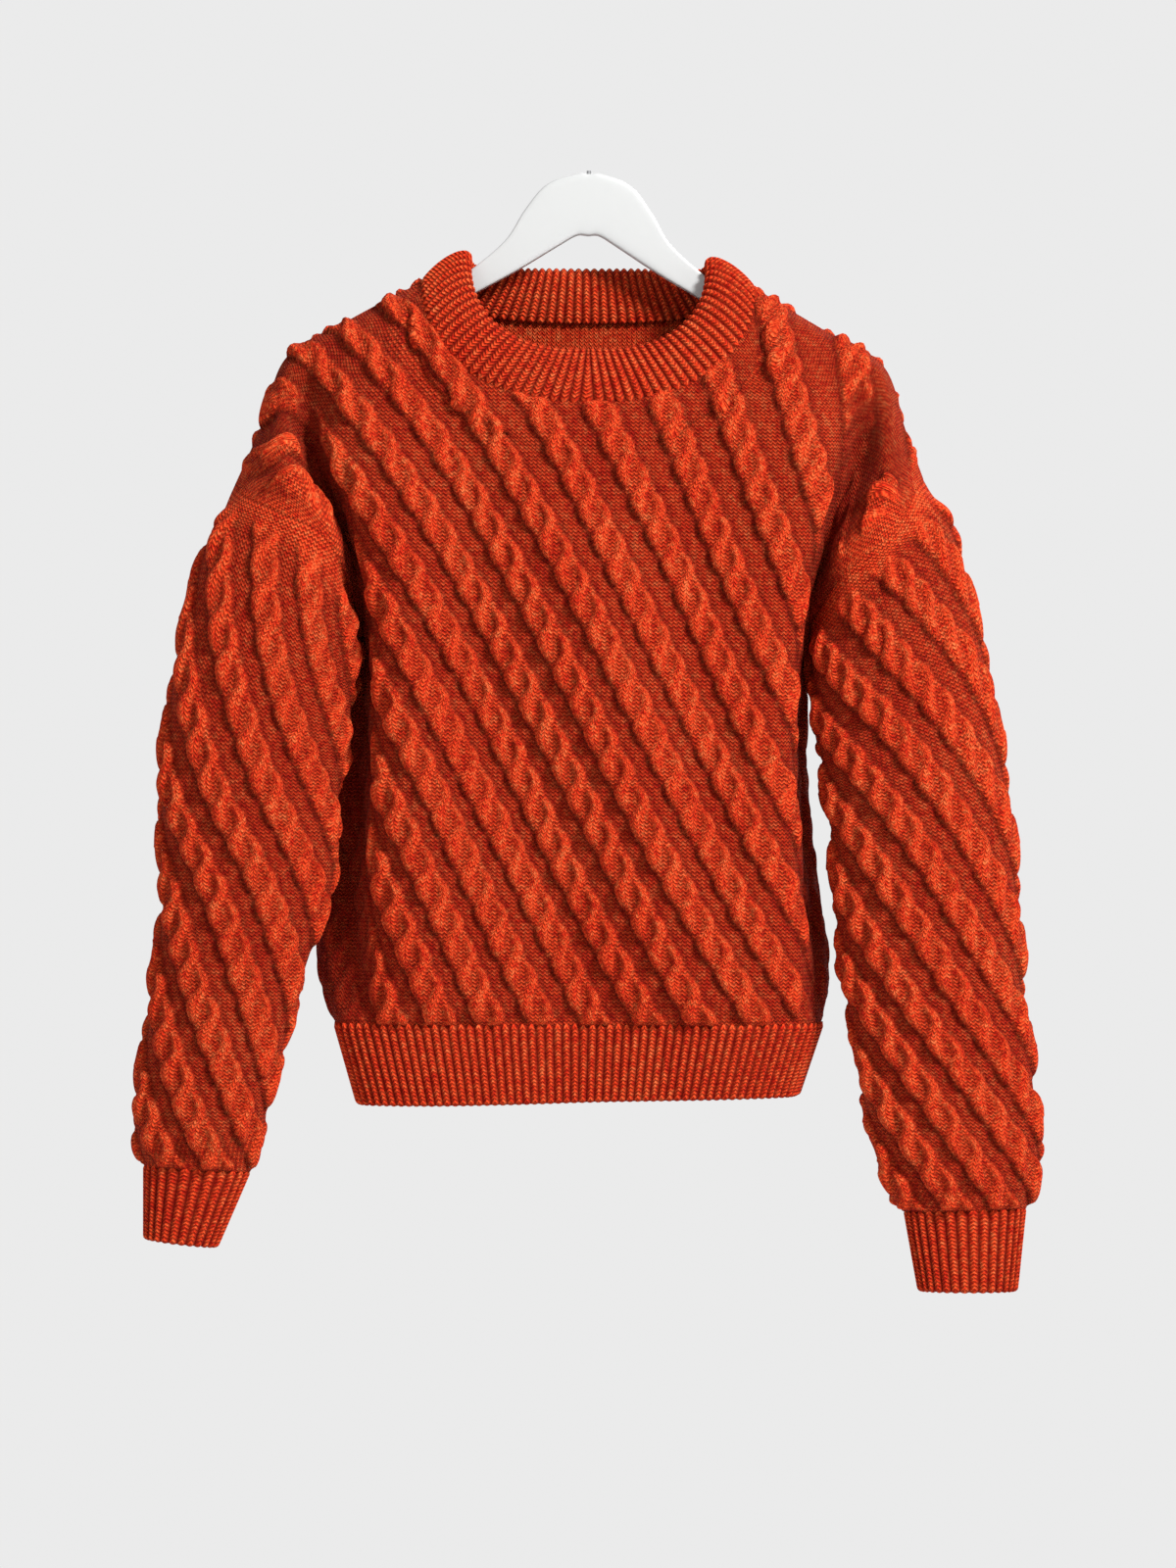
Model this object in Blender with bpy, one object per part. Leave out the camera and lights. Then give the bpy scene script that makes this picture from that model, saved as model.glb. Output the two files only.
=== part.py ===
"""Cable-knit sweater hanging on a plain hanger, as a Blender model.

Metres, +Z up. The origin is at the top of the hanger, where its hook starts. +X is to the right of someone
who looks at the front, and the front faces -Y. The tables below are in millimetres.

Each knitted piece is a wall with a plain inside. Its outer points follow the knitting: they lie in rows
across the piece, and along a row they lie on the feet and on the two crests of each cable.
"""

import math

import bmesh
import bpy
import numpy as np

MM = 0.001

# Cloth
WALL = 4.0  # thickness of the ground between the cables
BAND_WALL = 7.0  # the neckband is folded double
SEAM_HALF_GAP = 0.15  # each piece stops this far from the seam line
ROW_STEP = 13.5  # half the length of one cable lobe

# Cables: two strands twisted round each other
LOBE = 27.0  # length of one lobe of a cable
STRAND_SWING = 6.0  # how far a strand swings to each side of the cable's middle
STRAND_RADIUS = 7.0
STRAND_LIFT = -1.0  # height of a strand's middle above the ground
OVER_LIFT = 1.6  # how much the strand that passes over rises
FOOT = 12.5  # from a cable's middle to its foot
CREST = 5.0  # from a cable's middle to each row of crest points
FULL_CABLE = (-FOOT, -CREST, CREST, FOOT)  # points across a cable where it shows most
PLAIN_CABLE = (-CREST, CREST, 17.5)  # on the back and the sleeves, with one point between two cables
SEAM_FADE = 16.0  # the relief grows to its full height over this distance from a seam
HEM_FADE = 10.0  # the same beside a ribbed band
ARMHOLE_FADE = 30.0  # the same on a sleeve below the armhole
PANEL_LEAN = 27.0  # mean lean of the cables from the vertical, in degrees
SLEEVE_LEAN = 27.0
SLEEVE_PITCH = (39.0, 35.0)  # distance between two cables at the armhole and at the cuff
EDGE_MARGIN = 5.0  # no point of a row lies nearer its end than this

# Height on the front, distance between two cables, and the lean of the cables from the vertical in degrees
CABLE_PLAN = (
    # z      pitch  lean
    (-620, 36.0, 28.5),
    (-505, 35.5, 28.0),
    (-393, 35.5, 28.0),
    (-300, 37.5, 28.0),
    (-225, 40.5, 27.0),
    (-60, 46.0, 27.0),
)
CABLE_START = (-49.0, -225.0)  # one cable's middle passes this x and z on the front

# Columns of a panel, from the centre (0) out to its edge (1)
CORE, NECK, CREASE_EDGE, FOLD, SIDE, EDGE = 0.29, 0.42, 0.58, 0.72, 0.86, 1.0
SHOULDER_STEPS = 22  # points along each shoulder seam
NECK_STEPS = 18  # points along each quarter of the neckline
YOKE_ROWS = 18  # rows of points between the armpit and the top

# Front panel, left side. A row for each level: x, y, z of the edge, the side, the deep fold and the fold's
# front edge
FRONT_LEFT = (
    #          edge                side                fold                front edge of the fold
    ("hem", (-181, 8, -607), (-177, -14, -607), (-161, -26, -607), (-134, -34, -607)),
    ("low", (-190, 12, -575), (-187, -6, -575), (-168, -19, -575), (-138, -35, -575)),
    ("waist", (-186, 14, -505), (-183, 1, -505), (-167, -8, -505), (-146, -33, -505)),
    ("bust", (-175, 14, -421), (-172, 2, -421), (-158, -5, -421), (-144, -33, -421)),
    ("armpit", (-166, 8, -311), (-165, -2, -313), (-160, -7, -314), (-145, -32, -315)),
    ("yoke", (-185, -36, -262), (-180, -33, -256), (-171, -10, -256), (-156, -30, -256)),
    ("upper yoke", (-218, -41, -243), (-211, -38, -213), (-195, -10, -193), (-168, -28, -180)),
    ("shoulder", (-253, 0, -222), (-233, 0, -177), (-216, 0, -130.5), (-168, 0, -102)),
)

# Front panel, right side
FRONT_RIGHT = (
    #          edge               side               fold               front edge of the fold
    ("hem", (166, 8, -607), (162, -12, -607), (155, -24, -607), (137, -34, -607)),
    ("low", (171, 12, -575), (168, -6, -575), (158, -18, -575), (146, -36, -575)),
    ("waist", (161, 14, -505), (159, 0, -505), (152, -11, -505), (142, -37, -505)),
    ("bust", (151, 14, -421), (150, 1, -421), (145, -10, -421), (136, -36, -421)),
    ("armpit", (158, 8, -323), (157, -2, -322), (152, -10, -321), (142, -36, -320)),
    ("yoke", (182, -34, -285), (178, -32, -272), (170, -12, -264), (151, -35, -262)),
    ("upper yoke", (217, -38, -254), (206, -36, -228), (188, -12, -200), (161, -32, -184)),
    ("shoulder", (239, 0, -218), (226, 0, -182), (210, 0, -136.5), (166, 0, -110)),
)

# The middle of the front: x, y and z of the core columns, to each side, and y and z of the centre line
FRONT_MIDDLE = (
    #            core x  core y  core z  centre y  centre z
    ("hem", 72, -39, -607, -40, -607),
    ("low", 72, -42, -575, -43, -575),
    ("waist", 72, -43, -505, -45, -505),
    ("bust", 72, -42, -421, -44, -421),
    ("armpit", 73, -40, -316, -42, -317),
    ("yoke", 77, -37, -250, -39, -265),
    ("upper yoke", 84, -33, -184, -36, -213),
)

# Back panel: depth of each column at each level. Its x and z, and its edges, are the front's
BACK_DEPTHS = (
    #           side  fold  fold's edge  core  centre
    ("hem", 25, 32, 37, 40, 40),
    ("low", 27, 36, 41, 44, 44),
    ("waist", 28, 37, 43, 47, 47),
    ("bust", 28, 36, 43, 46, 47),
    ("armpit", 15, 24, 38, 43, 44),
    ("yoke", 32, 26, 34, 38, 40),
    ("upper yoke", 34, 24, 28, 31, 33),
    ("shoulder", 0, 0, 0, 0, 0),
)
BACK_ARMHOLE = {"yoke": 34, "upper yoke": 36}  # depth of the armhole edge behind

# Height of each level in the cut cloth, from the hem joint up; the shoulder's is at the neck point
LEVEL_HEIGHTS = (0, 32, 102, 186, 291, 371, 451, 531)
ROLL_HEIGHT = 18  # below the shoulder seam, the cloth has rolled down over the hanger by this much

# Neckline
NECK_HALF = (116.0, 115.0)  # left and right of the centre
NECK_POINT_Z = (-75.0, -80.0)
FRONT_DROP = 85.0
BACK_DROP = 24.0
NECK_ROUND = 0.889  # below 1, the neckline is squarer than an ellipse
FRONT_NECK_Y = -32.0
BACK_NECK_Y = 27.0
BAND_HEIGHT = 34.0
BAND_LEAN = 53.0  # degrees that the band leans in at the neck point

# Sleeves. A row for each ring: left and right end (x, z), depth of the ring's middle, half its depth, and
# how far its front and back lie above the line between its ends
LEFT_SLEEVE = (
    # left end        right end      middle y  half depth  rise
    (-253, -222, -166, -311, 3, 40, 21),
    (-272, -265, -178, -337, -6, 38, 12),
    (-286, -321, -175, -366, -14, 36, 6),
    (-297, -380, -174, -402, -20, 35, 2),
    (-302, -435, -179, -437, -24, 34, 0),
    (-301, -505, -193, -505, -26, 32, 0),
    (-307, -575, -209, -575, -27, 30, 0),
    (-317, -645, -224, -645, -27, 28, 0),
    (-320, -684, -233, -685, -26, 25, 0),
    (-315, -706, -240, -710, -25, 20, 0),
)
RIGHT_SLEEVE = (
    (158, -323, 239, -218, 3, 40, 3),
    (171, -352, 257, -252, -6, 38, 2),
    (171, -387, 270, -304, -13, 37, 1),
    (171, -412, 281, -352, -18, 36, 0),
    (171, -440, 289, -402, -22, 36, 0),
    (176, -480, 297, -462, -25, 34, 0),
    (179, -536, 303, -528, -27, 32, 0),
    (187, -588, 306, -586, -27, 30, 0),
    (197, -645, 314, -645, -27, 28, 0),
    (202, -690, 318, -690, -27, 26, 0),
    (212, -718, 316, -716, -26, 24, 0),
    (222, -738, 310, -736, -25, 20, 0),
)
# Cuffs: the ring at the sleeve and the ring at the hand
LEFT_CUFF = ((-314, -706, -242, -710, -25, 19, 0), (-314, -757, -265, -763, -25, 15, 0))
RIGHT_CUFF = ((225, -738, 308, -736, -25, 19, 0), (235, -794, 302, -794, -25, 15, 0))

# Ribs
RIB_PITCH = 10.6
BAND_RIB_PITCH = 9.8
CUFF_RIB_PITCH = 9.6
RIB_HEIGHT = 2.2
HEM_NARROWING = 0.905  # the hem's lower edge is this much narrower than its joint
HEM_LEFT = (-181.0, -165.0)  # x of the left end, at the joint and at the lower edge
HEM_JOINT_Z = -607.0
HEM_LOW_Z = (-663.0, -657.0)  # lower edge at the left and at the right
HEM_LOW_WIDTH = 315.0
HEM_LOW_DEPTH = 0.94  # its lower edge is this much shallower

# Hanger
HANGER_OUTLINE = (
    # the right half from the top to the tip and back under the arm to the notch
    (9, 0), (30, -8), (45, -26), (58, -47.5), (78, -66), (96, -79), (114, -88.6), (145, -100.6),
    (178, -118.6), (201, -132.8), (207, -140.7), (203, -148.7), (193, -147.7), (140, -119.7),
    (104, -100.7), (72, -82.5), (42, -65), (20, -51), (8, -44),
)
HANGER_THICKNESS = 10.0
HANGER_ROUNDING = 3.5
HANGER_TILT = 1.15  # degrees, its right end the lower
HOOK_RADIUS = 1.6
HOOK_SEAT = 10.0  # depth of the hole that the hook's end stands in
HOOK_PROUD = 2.5
HOOK_PLAY = 0.3  # between the wire and its hole


def clear_scene():
    for obj in list(bpy.data.objects):
        bpy.data.objects.remove(obj, do_unlink=True)


def knit_material(name, color, roughness):
    material = bpy.data.materials.new(name)
    material.use_nodes = True
    shader = material.node_tree.nodes["Principled BSDF"]
    shader.inputs["Base Color"].default_value = (*color, 1)
    shader.inputs["Roughness"].default_value = roughness
    return material


def unit(vectors):
    vectors = np.asarray(vectors, float)
    return vectors / np.maximum(np.linalg.norm(vectors, axis=-1, keepdims=True), 1e-12)


def smoothstep(low, high, value):
    t = np.clip((np.asarray(value, float) - low) / (high - low), 0, 1)
    return t * t * (3 - 2 * t)


def spline(knots, values, at):
    """A smooth curve through the values at the knots: cubic between two knots, with the slope at each knot
    the average of the slopes beside it, weighted by how near they are."""
    knots = np.asarray(knots, float)
    values = np.asarray(values, float)
    shape = (-1,) + (1,) * (values.ndim - 1)
    step = np.diff(knots).reshape(shape)
    slope = np.diff(values, axis=0) / step
    middle = (slope[:-1] * step[1:] + slope[1:] * step[:-1]) / (step[:-1] + step[1:])
    tangent = np.concatenate([slope[:1], middle, slope[-1:]])
    at = np.clip(np.asarray(at, float), knots[0], knots[-1])
    k = np.clip(np.searchsorted(knots, at, side="right") - 1, 0, len(knots) - 2)
    h = (knots[k + 1] - knots[k]).reshape(at.shape + (1,) * (values.ndim - 1))
    t = (at - knots[k]).reshape(h.shape) / h
    return (
        (2 * t**3 - 3 * t**2 + 1) * values[k]
        + (t**3 - 2 * t**2 + t) * h * tangent[k]
        + (3 * t**2 - 2 * t**3) * values[k + 1]
        + (t**3 - t**2) * h * tangent[k + 1]
    )


def cable_height(across, along):
    """Height of a cable above the ground: the higher of two round strands, which swing from side to side
    half a turn apart, each rising while it passes over the other."""
    turn = math.pi * np.asarray(along, float) / LOBE
    best = np.zeros(np.broadcast(across, turn).shape)
    for start in (0.0, math.pi):
        middle = STRAND_SWING * np.cos(turn + start)
        over = -np.sin(turn + start)
        reach = STRAND_RADIUS**2 - (across - middle) ** 2
        height = STRAND_LIFT + OVER_LIFT * over + np.sqrt(np.maximum(reach, 0))
        best = np.maximum(best, np.where(reach > 0, height, 0))
    return best


def cable_plan(height):
    """Pitch of the cables and the sideways place of the first one, at a height on the front."""
    z, pitch, lean = np.array(CABLE_PLAN, float).T
    fine = np.linspace(z[0], z[-1], 200)
    slope = np.tan(np.radians(np.interp(fine, z, lean)))
    run = np.concatenate([[0], np.cumsum((slope[1:] + slope[:-1]) / 2 * np.diff(fine))])
    run -= np.interp(CABLE_START[1], fine, run)
    return np.interp(height, z, pitch), CABLE_START[0] - np.interp(height, fine, run)


class Shell:
    """Points and triangles of one piece. Rows of points are joined by strips."""

    def __init__(self):
        self.points = []
        self.faces = []

    def add(self, points):
        start = len(self.points)
        self.points.extend(np.asarray(points, float).tolist())
        return list(range(start, start + len(points)))

    def strip(self, low, low_at, high, high_at, flip=False):
        """Triangles between two rows, each point taken in the order of its place along the row."""
        i = j = 0
        while i < len(low) - 1 or j < len(high) - 1:
            if j == len(high) - 1:
                take_low = True
            elif i == len(low) - 1:
                take_low = False
            else:
                take_low = low_at[i + 1] <= high_at[j + 1] + 1e-9
            if take_low:
                face = (low[i], low[i + 1], high[j])
                i += 1
            else:
                face = (low[i], high[j + 1], high[j])
                j += 1
            if len(set(face)) == 3:
                self.faces.append(face[::-1] if flip else face)

    def to_object(self, name, material, collection):
        mesh = bpy.data.meshes.new(name)
        mesh.from_pydata((np.array(self.points) * MM).tolist(), [], self.faces)
        mesh.update()
        mesh.materials.append(material)
        obj = bpy.data.objects.new(name, mesh)
        collection.objects.link(obj)
        return obj


def neck_ring(angle, front, side):
    """A point of the neckline, its direction towards the opening and its outward normal. The angle runs from
    0 at the centre to a quarter turn at the neck point; side is -1 for the left and 1 for the right."""
    angle = np.asarray(angle, float)
    right = side > 0
    half = np.where(right, NECK_HALF[1], NECK_HALF[0])
    top = np.where(right, NECK_POINT_Z[1], NECK_POINT_Z[0])
    drop = (FRONT_DROP if front else BACK_DROP) + (top - sum(NECK_POINT_Z) / 2)
    depth = FRONT_NECK_Y if front else BACK_NECK_Y
    sine = np.clip(np.sin(angle), 0, 1)
    cosine = np.clip(np.cos(angle), 0, 1)
    x = side * half * sine**NECK_ROUND
    z = top - drop * cosine**NECK_ROUND
    y = depth * (1 - (1 - cosine) ** 3) ** 0.6
    point = np.stack([x, y, z], axis=-1)
    lean = np.radians(BAND_LEAN) * sine ** (0.6 if front else 1.2)
    up = np.stack([-side * np.sin(lean), 0 * lean, np.cos(lean)], axis=-1)
    facing = (-1 if front else 1) * cosine**0.5
    outward = 1 - cosine**0.5
    normal = unit(np.stack([side * np.cos(lean) * outward, facing, np.sin(lean) * outward], axis=-1))
    up = unit(up - (up * normal).sum(-1, keepdims=True) * normal)
    return point, up, normal


class Panel:
    """The front or the back. Columns run from -1 at the left edge of the front to 1 at its right edge, and
    rows from 0 at the hem joint to 1 at the shoulder and the neckline."""

    columns = np.array([-EDGE, -SIDE, -FOLD, -CREASE_EDGE, -CORE, 0, CORE, CREASE_EDGE, FOLD, SIDE, EDGE])
    levels = np.array(LEVEL_HEIGHTS, float) / LEVEL_HEIGHTS[-1]
    armpit = LEVEL_HEIGHTS[4] / LEVEL_HEIGHTS[-1]

    def __init__(self, front):
        self.front = front
        rows = []
        for level in range(7):
            name, x, y, z, centre_y, centre_z = FRONT_MIDDLE[level]
            middle = [(-x, y, z), (0, centre_y, centre_z), (x, y, z)]
            row = np.array([*FRONT_LEFT[level][1:], *middle, *FRONT_RIGHT[level][:0:-1]], float)
            if not front:
                side, fold, edge, core, centre = BACK_DEPTHS[level][1:]
                armhole = BACK_ARMHOLE.get(name, row[0, 1])
                half = [armhole, side, fold, edge, core]
                row[:, 1] = half + [centre] + half[::-1]
            rows.append(row)
        self.rows = np.array(rows)
        self.measure()

    def top_row(self, u):
        """The shoulder seam and the neckline, as one curve across the panel."""
        u = np.asarray(u, float)
        side = np.where(u < 0, -1.0, 1.0)
        points = neck_ring(np.minimum(np.abs(u) / NECK, 1) * math.pi / 2, self.front, side)[0]
        for table, sign in ((FRONT_LEFT, -1), (FRONT_RIGHT, 1)):
            neck = neck_ring(math.pi / 2, self.front, float(sign))[0]
            knots = [NECK, CREASE_EDGE, FOLD, SIDE, EDGE]
            values = [neck] + [table[7][1:][k] for k in (3, 2, 1, 0)]
            on = (np.abs(u) > NECK) & (side == sign)
            shoulder = spline(knots, np.array(values, float), np.abs(u))
            points = np.where(on[..., None], shoulder, points)
        return points

    def roll(self, u):
        """From the top row to the row a little below it: down over the hanger, or down the chest, away from
        the neckband at the sides of the neck and straight down in the middle."""
        u = np.asarray(u, float)
        side = np.where(u < 0, -1.0, 1.0)
        out = -1.0 if self.front else 1.0
        angle = np.minimum(np.abs(u) / NECK, 1) * math.pi / 2
        ring, up, _ = neck_ring(angle, self.front, side)
        straight = unit(spline(self.columns, self.rows[6], u) - ring)
        aside = smoothstep(0.0, 0.6, np.abs(u) / NECK)[..., None]
        chest = ROLL_HEIGHT * unit(straight * (1 - aside) - up * aside) + np.array([0, 2.0 * out, 0])
        outer = smoothstep(FOLD - 0.1, FOLD + 0.1, np.abs(u))[..., None]
        tip = np.stack([-5.0 * side, np.full_like(u, 15.0 * out), np.full_like(u, -5.0)], axis=-1)
        shoulder = np.array([0, 13.0 * out, -8.0]) * (1 - outer) + tip * outer
        share = smoothstep(0.8 * NECK, 1.05 * NECK, np.abs(u))[..., None]
        return chest * (1 - share) + shoulder * share

    def raw(self, u, v):
        """The ground's outer face: across each level a spline through its columns, then a spline up through
        the levels, the roll and the top row. At the armpit the outer columns turn a corner."""
        u, v = np.broadcast_arrays(np.asarray(u, float), np.asarray(v, float))
        shape = u.shape
        u, v = u.ravel(), v.ravel()
        level_points = [spline(self.columns, row, u) for row in self.rows]
        top = self.top_row(u)
        level_points.append(top + self.roll(u))
        level_points.append(top)
        stack = np.array(level_points)
        knots = np.concatenate([self.levels[:7], [1 - ROLL_HEIGHT / LEVEL_HEIGHTS[-1], 1]])
        step = np.diff(knots)[:, None, None]
        slope = np.diff(stack, axis=0) / step
        middle = (slope[:-1] * step[1:] + slope[1:] * step[:-1]) / (step[:-1] + step[1:])
        tangent = np.concatenate([slope[:1], middle, slope[-1:]])
        corner = smoothstep(FOLD - 0.06, SIDE, np.abs(u))[:, None]
        leaving, arriving = tangent.copy(), tangent.copy()
        leaving[4] += (slope[4] - tangent[4]) * corner
        arriving[4] += (slope[3] - tangent[4]) * corner
        k = np.clip(np.searchsorted(knots, v, side="right") - 1, 0, len(knots) - 2)
        h = (knots[k + 1] - knots[k])[:, None]
        t = ((v - knots[k]) / (knots[k + 1] - knots[k]))[:, None]
        i = np.arange(len(u))
        points = (
            (2 * t**3 - 3 * t**2 + 1) * stack[k, i]
            + (t**3 - 2 * t**2 + t) * h * leaving[k, i]
            + (3 * t**2 - 2 * t**3) * stack[k + 1, i]
            + (t**3 - t**2) * h * arriving[k + 1, i]
        )
        return points.reshape(shape + (3,))

    def measure(self):
        """The distance across each row from its centre, kept on a grid to be looked up."""
        self.grid_u = np.linspace(-1, 1, 241)
        self.grid_v = np.linspace(0, 1, 121)
        points = self.raw(self.grid_u[None, :], self.grid_v[:, None])
        step = np.linalg.norm(np.diff(points, axis=1), axis=2)
        run = np.concatenate([np.zeros((len(points), 1)), np.cumsum(step, axis=1)], axis=1)
        self.grid_a = run - run[:, 120:121]

    def across(self, u, v):
        """Distance along a row from the centre line."""
        u, v = np.broadcast_arrays(np.asarray(u, float), np.asarray(v, float))
        column = (u + 1) / 2 * (len(self.grid_u) - 1)
        row = v * (len(self.grid_v) - 1)
        i = np.clip(row.astype(int), 0, len(self.grid_v) - 2)
        j = np.clip(column.astype(int), 0, len(self.grid_u) - 2)
        s, t = row - i, column - j
        low = self.grid_a[i, j] * (1 - t) + self.grid_a[i, j + 1] * t
        high = self.grid_a[i + 1, j] * (1 - t) + self.grid_a[i + 1, j + 1] * t
        return low * (1 - s) + high * s

    def cloth_height(self, u, v):
        """Height of a point in the cut cloth, given as the height on the front where that cloth lies."""
        u = np.abs(np.asarray(u, float))
        drop = FRONT_DROP if self.front else BACK_DROP
        neck = -76 - drop * np.cos(np.minimum(u / NECK, 1) * math.pi / 2)
        top = np.where(u < NECK, neck, -76 - 100 * (u - NECK) / (1 - NECK))
        low, armpit = HEM_JOINT_Z, -317.0
        below = low + (armpit - low) * np.minimum(v / self.armpit, 1)
        above = armpit + (top - armpit) * (v - self.armpit) / (1 - self.armpit)
        return np.where(v <= self.armpit, below, above)

    def cable_place(self, u, v):
        """Which cable a point lies on, as a number that is whole at each cable's middle, and the pitch."""
        a = self.across(u, v)
        if not self.front:
            a = -a
        pitch, start = cable_plan(self.cloth_height(u, v))
        return (a - start) / pitch, pitch

    def relief(self, u, v):
        place, pitch = self.cable_place(u, v)
        offset = (place - np.round(place)) * pitch
        lean = math.radians(PANEL_LEAN)
        height = cable_height(offset * math.cos(lean), self.cloth_height(u, v) / math.cos(lean))
        a = self.across(u, v)
        from_edge = np.minimum(a - self.across(-1.0, v), self.across(1.0, v) - a)
        from_top = (1 - v) * (LEVEL_HEIGHTS[-1] - LEVEL_HEIGHTS[4]) * 0.8
        from_hem = v * LEVEL_HEIGHTS[-1]
        fade = smoothstep(0, SEAM_FADE, from_edge)
        fade = fade * smoothstep(0, SEAM_FADE, from_top) * smoothstep(0, HEM_FADE, from_hem)
        return height * fade

    def normal(self, u, v):
        """Outward normal, from the surface a little to each side."""
        u, v = np.broadcast_arrays(np.asarray(u, float), np.asarray(v, float))
        e = 0.006
        du = self.raw(np.minimum(u + e, 1), v) - self.raw(np.maximum(u - e, -1), v)
        dv = self.raw(u, np.minimum(v + e, 1)) - self.raw(u, np.maximum(v - e, 0))
        n = np.cross(du, dv)
        return unit(n if self.front else -n)


def armhole_normals(points, table):
    """Normals at the armhole seam: those of the sleeve's first ring, turned straight down at the armpit."""
    left_x, left_z, right_x, right_z = table[0][:4]
    middle_y, half_depth = table[0][4:6]
    left = np.array([left_x, middle_y, left_z], float)
    right = np.array([right_x, middle_y, right_z], float)
    axis = unit(right - left)
    half = np.linalg.norm(right - left) / 2
    rel = points - (left + right) / 2
    along = (rel @ axis) / half
    deep = (rel[:, 1]) / half_depth
    n = axis[None] * along[:, None] / half + np.array([0, 1.0, 0]) * deep[:, None] / half_depth
    n = unit(n)
    armpit = left if left_z < right_z else right
    armpit = armpit + np.array([0, 3.0, 0])
    near = 1 - smoothstep(0, 55, np.linalg.norm(points - armpit, axis=1))
    down = np.array([0, 0, -1.0])
    n = unit(n * (1 - near[:, None]) + down * near[:, None])
    return n


def armhole_inward(panel, sign, rows, points, normals):
    """Directions in the cloth, square to the armhole seam and into the panel."""
    e = 0.01
    ahead = panel.raw(float(sign), np.minimum(rows + e, 1))
    behind = panel.raw(float(sign), np.maximum(rows - e, panel.armpit))
    inward = np.cross(normals, ahead - behind)
    inside = panel.raw(float(sign) * 0.9, rows) - points
    return unit(inward * np.sign((inward * inside).sum(-1, keepdims=True)))


def top_columns():
    """Columns of the points that the front and the back share along the top row."""
    neck = np.linspace(0, NECK, NECK_STEPS + 1)
    shoulder = np.linspace(NECK, 1, SHOULDER_STEPS + 1)[1:]
    half = np.concatenate([neck, shoulder])
    return np.concatenate([-half[::-1], half[1:]])


def row_heights():
    """Rows of a panel: from the hem joint to the armpit, and from there to the top."""
    low = int(round(LEVEL_HEIGHTS[4] / ROW_STEP))
    armpit = Panel.armpit
    return np.concatenate([np.linspace(0, armpit, low + 1), np.linspace(armpit, 1, YOKE_ROWS + 1)[1:]])


def inner_row_heights():
    """Rows of a panel's plain inside: each third row, and those beside the armpit and the shoulder."""
    heights = row_heights()
    armpit_row = int(np.argmin(np.abs(heights - Panel.armpit)))
    kept = set(range(0, armpit_row, 3)) | set(range(armpit_row, len(heights), 3))
    kept |= {armpit_row - 1, armpit_row + 1, len(heights) - 2, len(heights) - 1}
    return heights[sorted(kept)]


def lattice(sheet, v, offsets):
    """Columns of a row's points: those beside the middle of each cable that the row meets, and both ends."""
    fine = np.linspace(-1, 1, 900)
    place, pitch = sheet.cable_place(fine, v)
    order = 1 if place[-1] > place[0] else -1
    first, last = sorted((place[0], place[-1]))
    wanted = []
    for cable in range(math.floor(first) - 1, math.ceil(last) + 2):
        for offset in offsets:
            wanted.append(cable + offset / float(np.median(pitch)))
    wanted = np.array([w for w in sorted(wanted) if first < w < last])
    columns = np.sort(np.interp(wanted, place[::order], fine[::order]))
    a = sheet.across(columns, v)
    ends = sheet.across(np.array([-1.0, 1.0]), v)
    keep = (a > ends[0] + EDGE_MARGIN) & (a < ends[1] - EDGE_MARGIN)
    return np.concatenate([[-1], columns[keep], [1]])


def offset_seams(panel, u, v, points, normals):
    """Moves a panel's border points back from the seams they lie on, and returns the points and the normals
    that the wall's rim has there."""
    points = points.copy()
    normals = normals.copy()
    front = panel.front
    side_y = np.array([0, -1.0 if front else 1.0, 0])
    for sign, table in ((-1, LEFT_SLEEVE), (1, RIGHT_SLEEVE)):
        on_edge = u == sign
        below = on_edge & (v < panel.armpit - 1e-9)
        flat = normals[below] * np.array([1, 0, 1])
        flat[:, 2] *= 0.3
        normals[below] = unit(flat)
        points[below] += side_y * SEAM_HALF_GAP
        on_armhole = on_edge & (v >= panel.armpit - 1e-9)
        if on_armhole.any():
            n = armhole_normals(points[on_armhole], table)
            inward = armhole_inward(panel, sign, v[on_armhole], points[on_armhole], n)
            normals[on_armhole] = n
            points[on_armhole] += inward * SEAM_HALF_GAP
            corner = on_edge & (np.abs(v - panel.armpit) < 1e-9)
            points[corner] += side_y * SEAM_HALF_GAP
    on_shoulder = (v > 1 - 1e-9) & (np.abs(u) >= NECK - 1e-9)
    if on_shoulder.any():
        columns = u[on_shoulder]
        e = 0.004
        reach = np.clip(np.abs(columns), NECK + e, 1 - e) * np.sign(columns)
        along = panel.top_row(reach + e) - panel.top_row(reach - e)
        up = np.stack([-along[:, 2], np.zeros(len(columns)), along[:, 0]], axis=-1)
        normals[on_shoulder] = unit(up)
        points[on_shoulder] += side_y * SEAM_HALF_GAP
    on_neck = (v > 1 - 1e-9) & (np.abs(u) <= NECK + 1e-9)
    if on_neck.any():
        side = np.where(u[on_neck] < 0, -1.0, 1.0)
        angle = np.minimum(np.abs(u[on_neck]) / NECK, 1) * math.pi / 2
        _, up, n = neck_ring(angle, front, side)
        normals[on_neck] = n
        points[on_neck] -= up * SEAM_HALF_GAP
    on_hem = v < 1e-9
    if on_hem.any():
        normals[on_hem] = unit(normals[on_hem] * np.array([1, 1, 0]))
        points[on_hem] += np.array([0, 0, 1.0]) * SEAM_HALF_GAP
    return points, normals


def inner_columns():
    """Columns of the plain inside, closer together at the folds."""
    half = np.array([0, 0.145, 0.29, 0.42, 0.5, 0.56, 0.62, 0.67, 0.72, 0.79, 0.86, 0.93, 1.0])
    return np.concatenate([-half[::-1], half[1:]])


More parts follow.
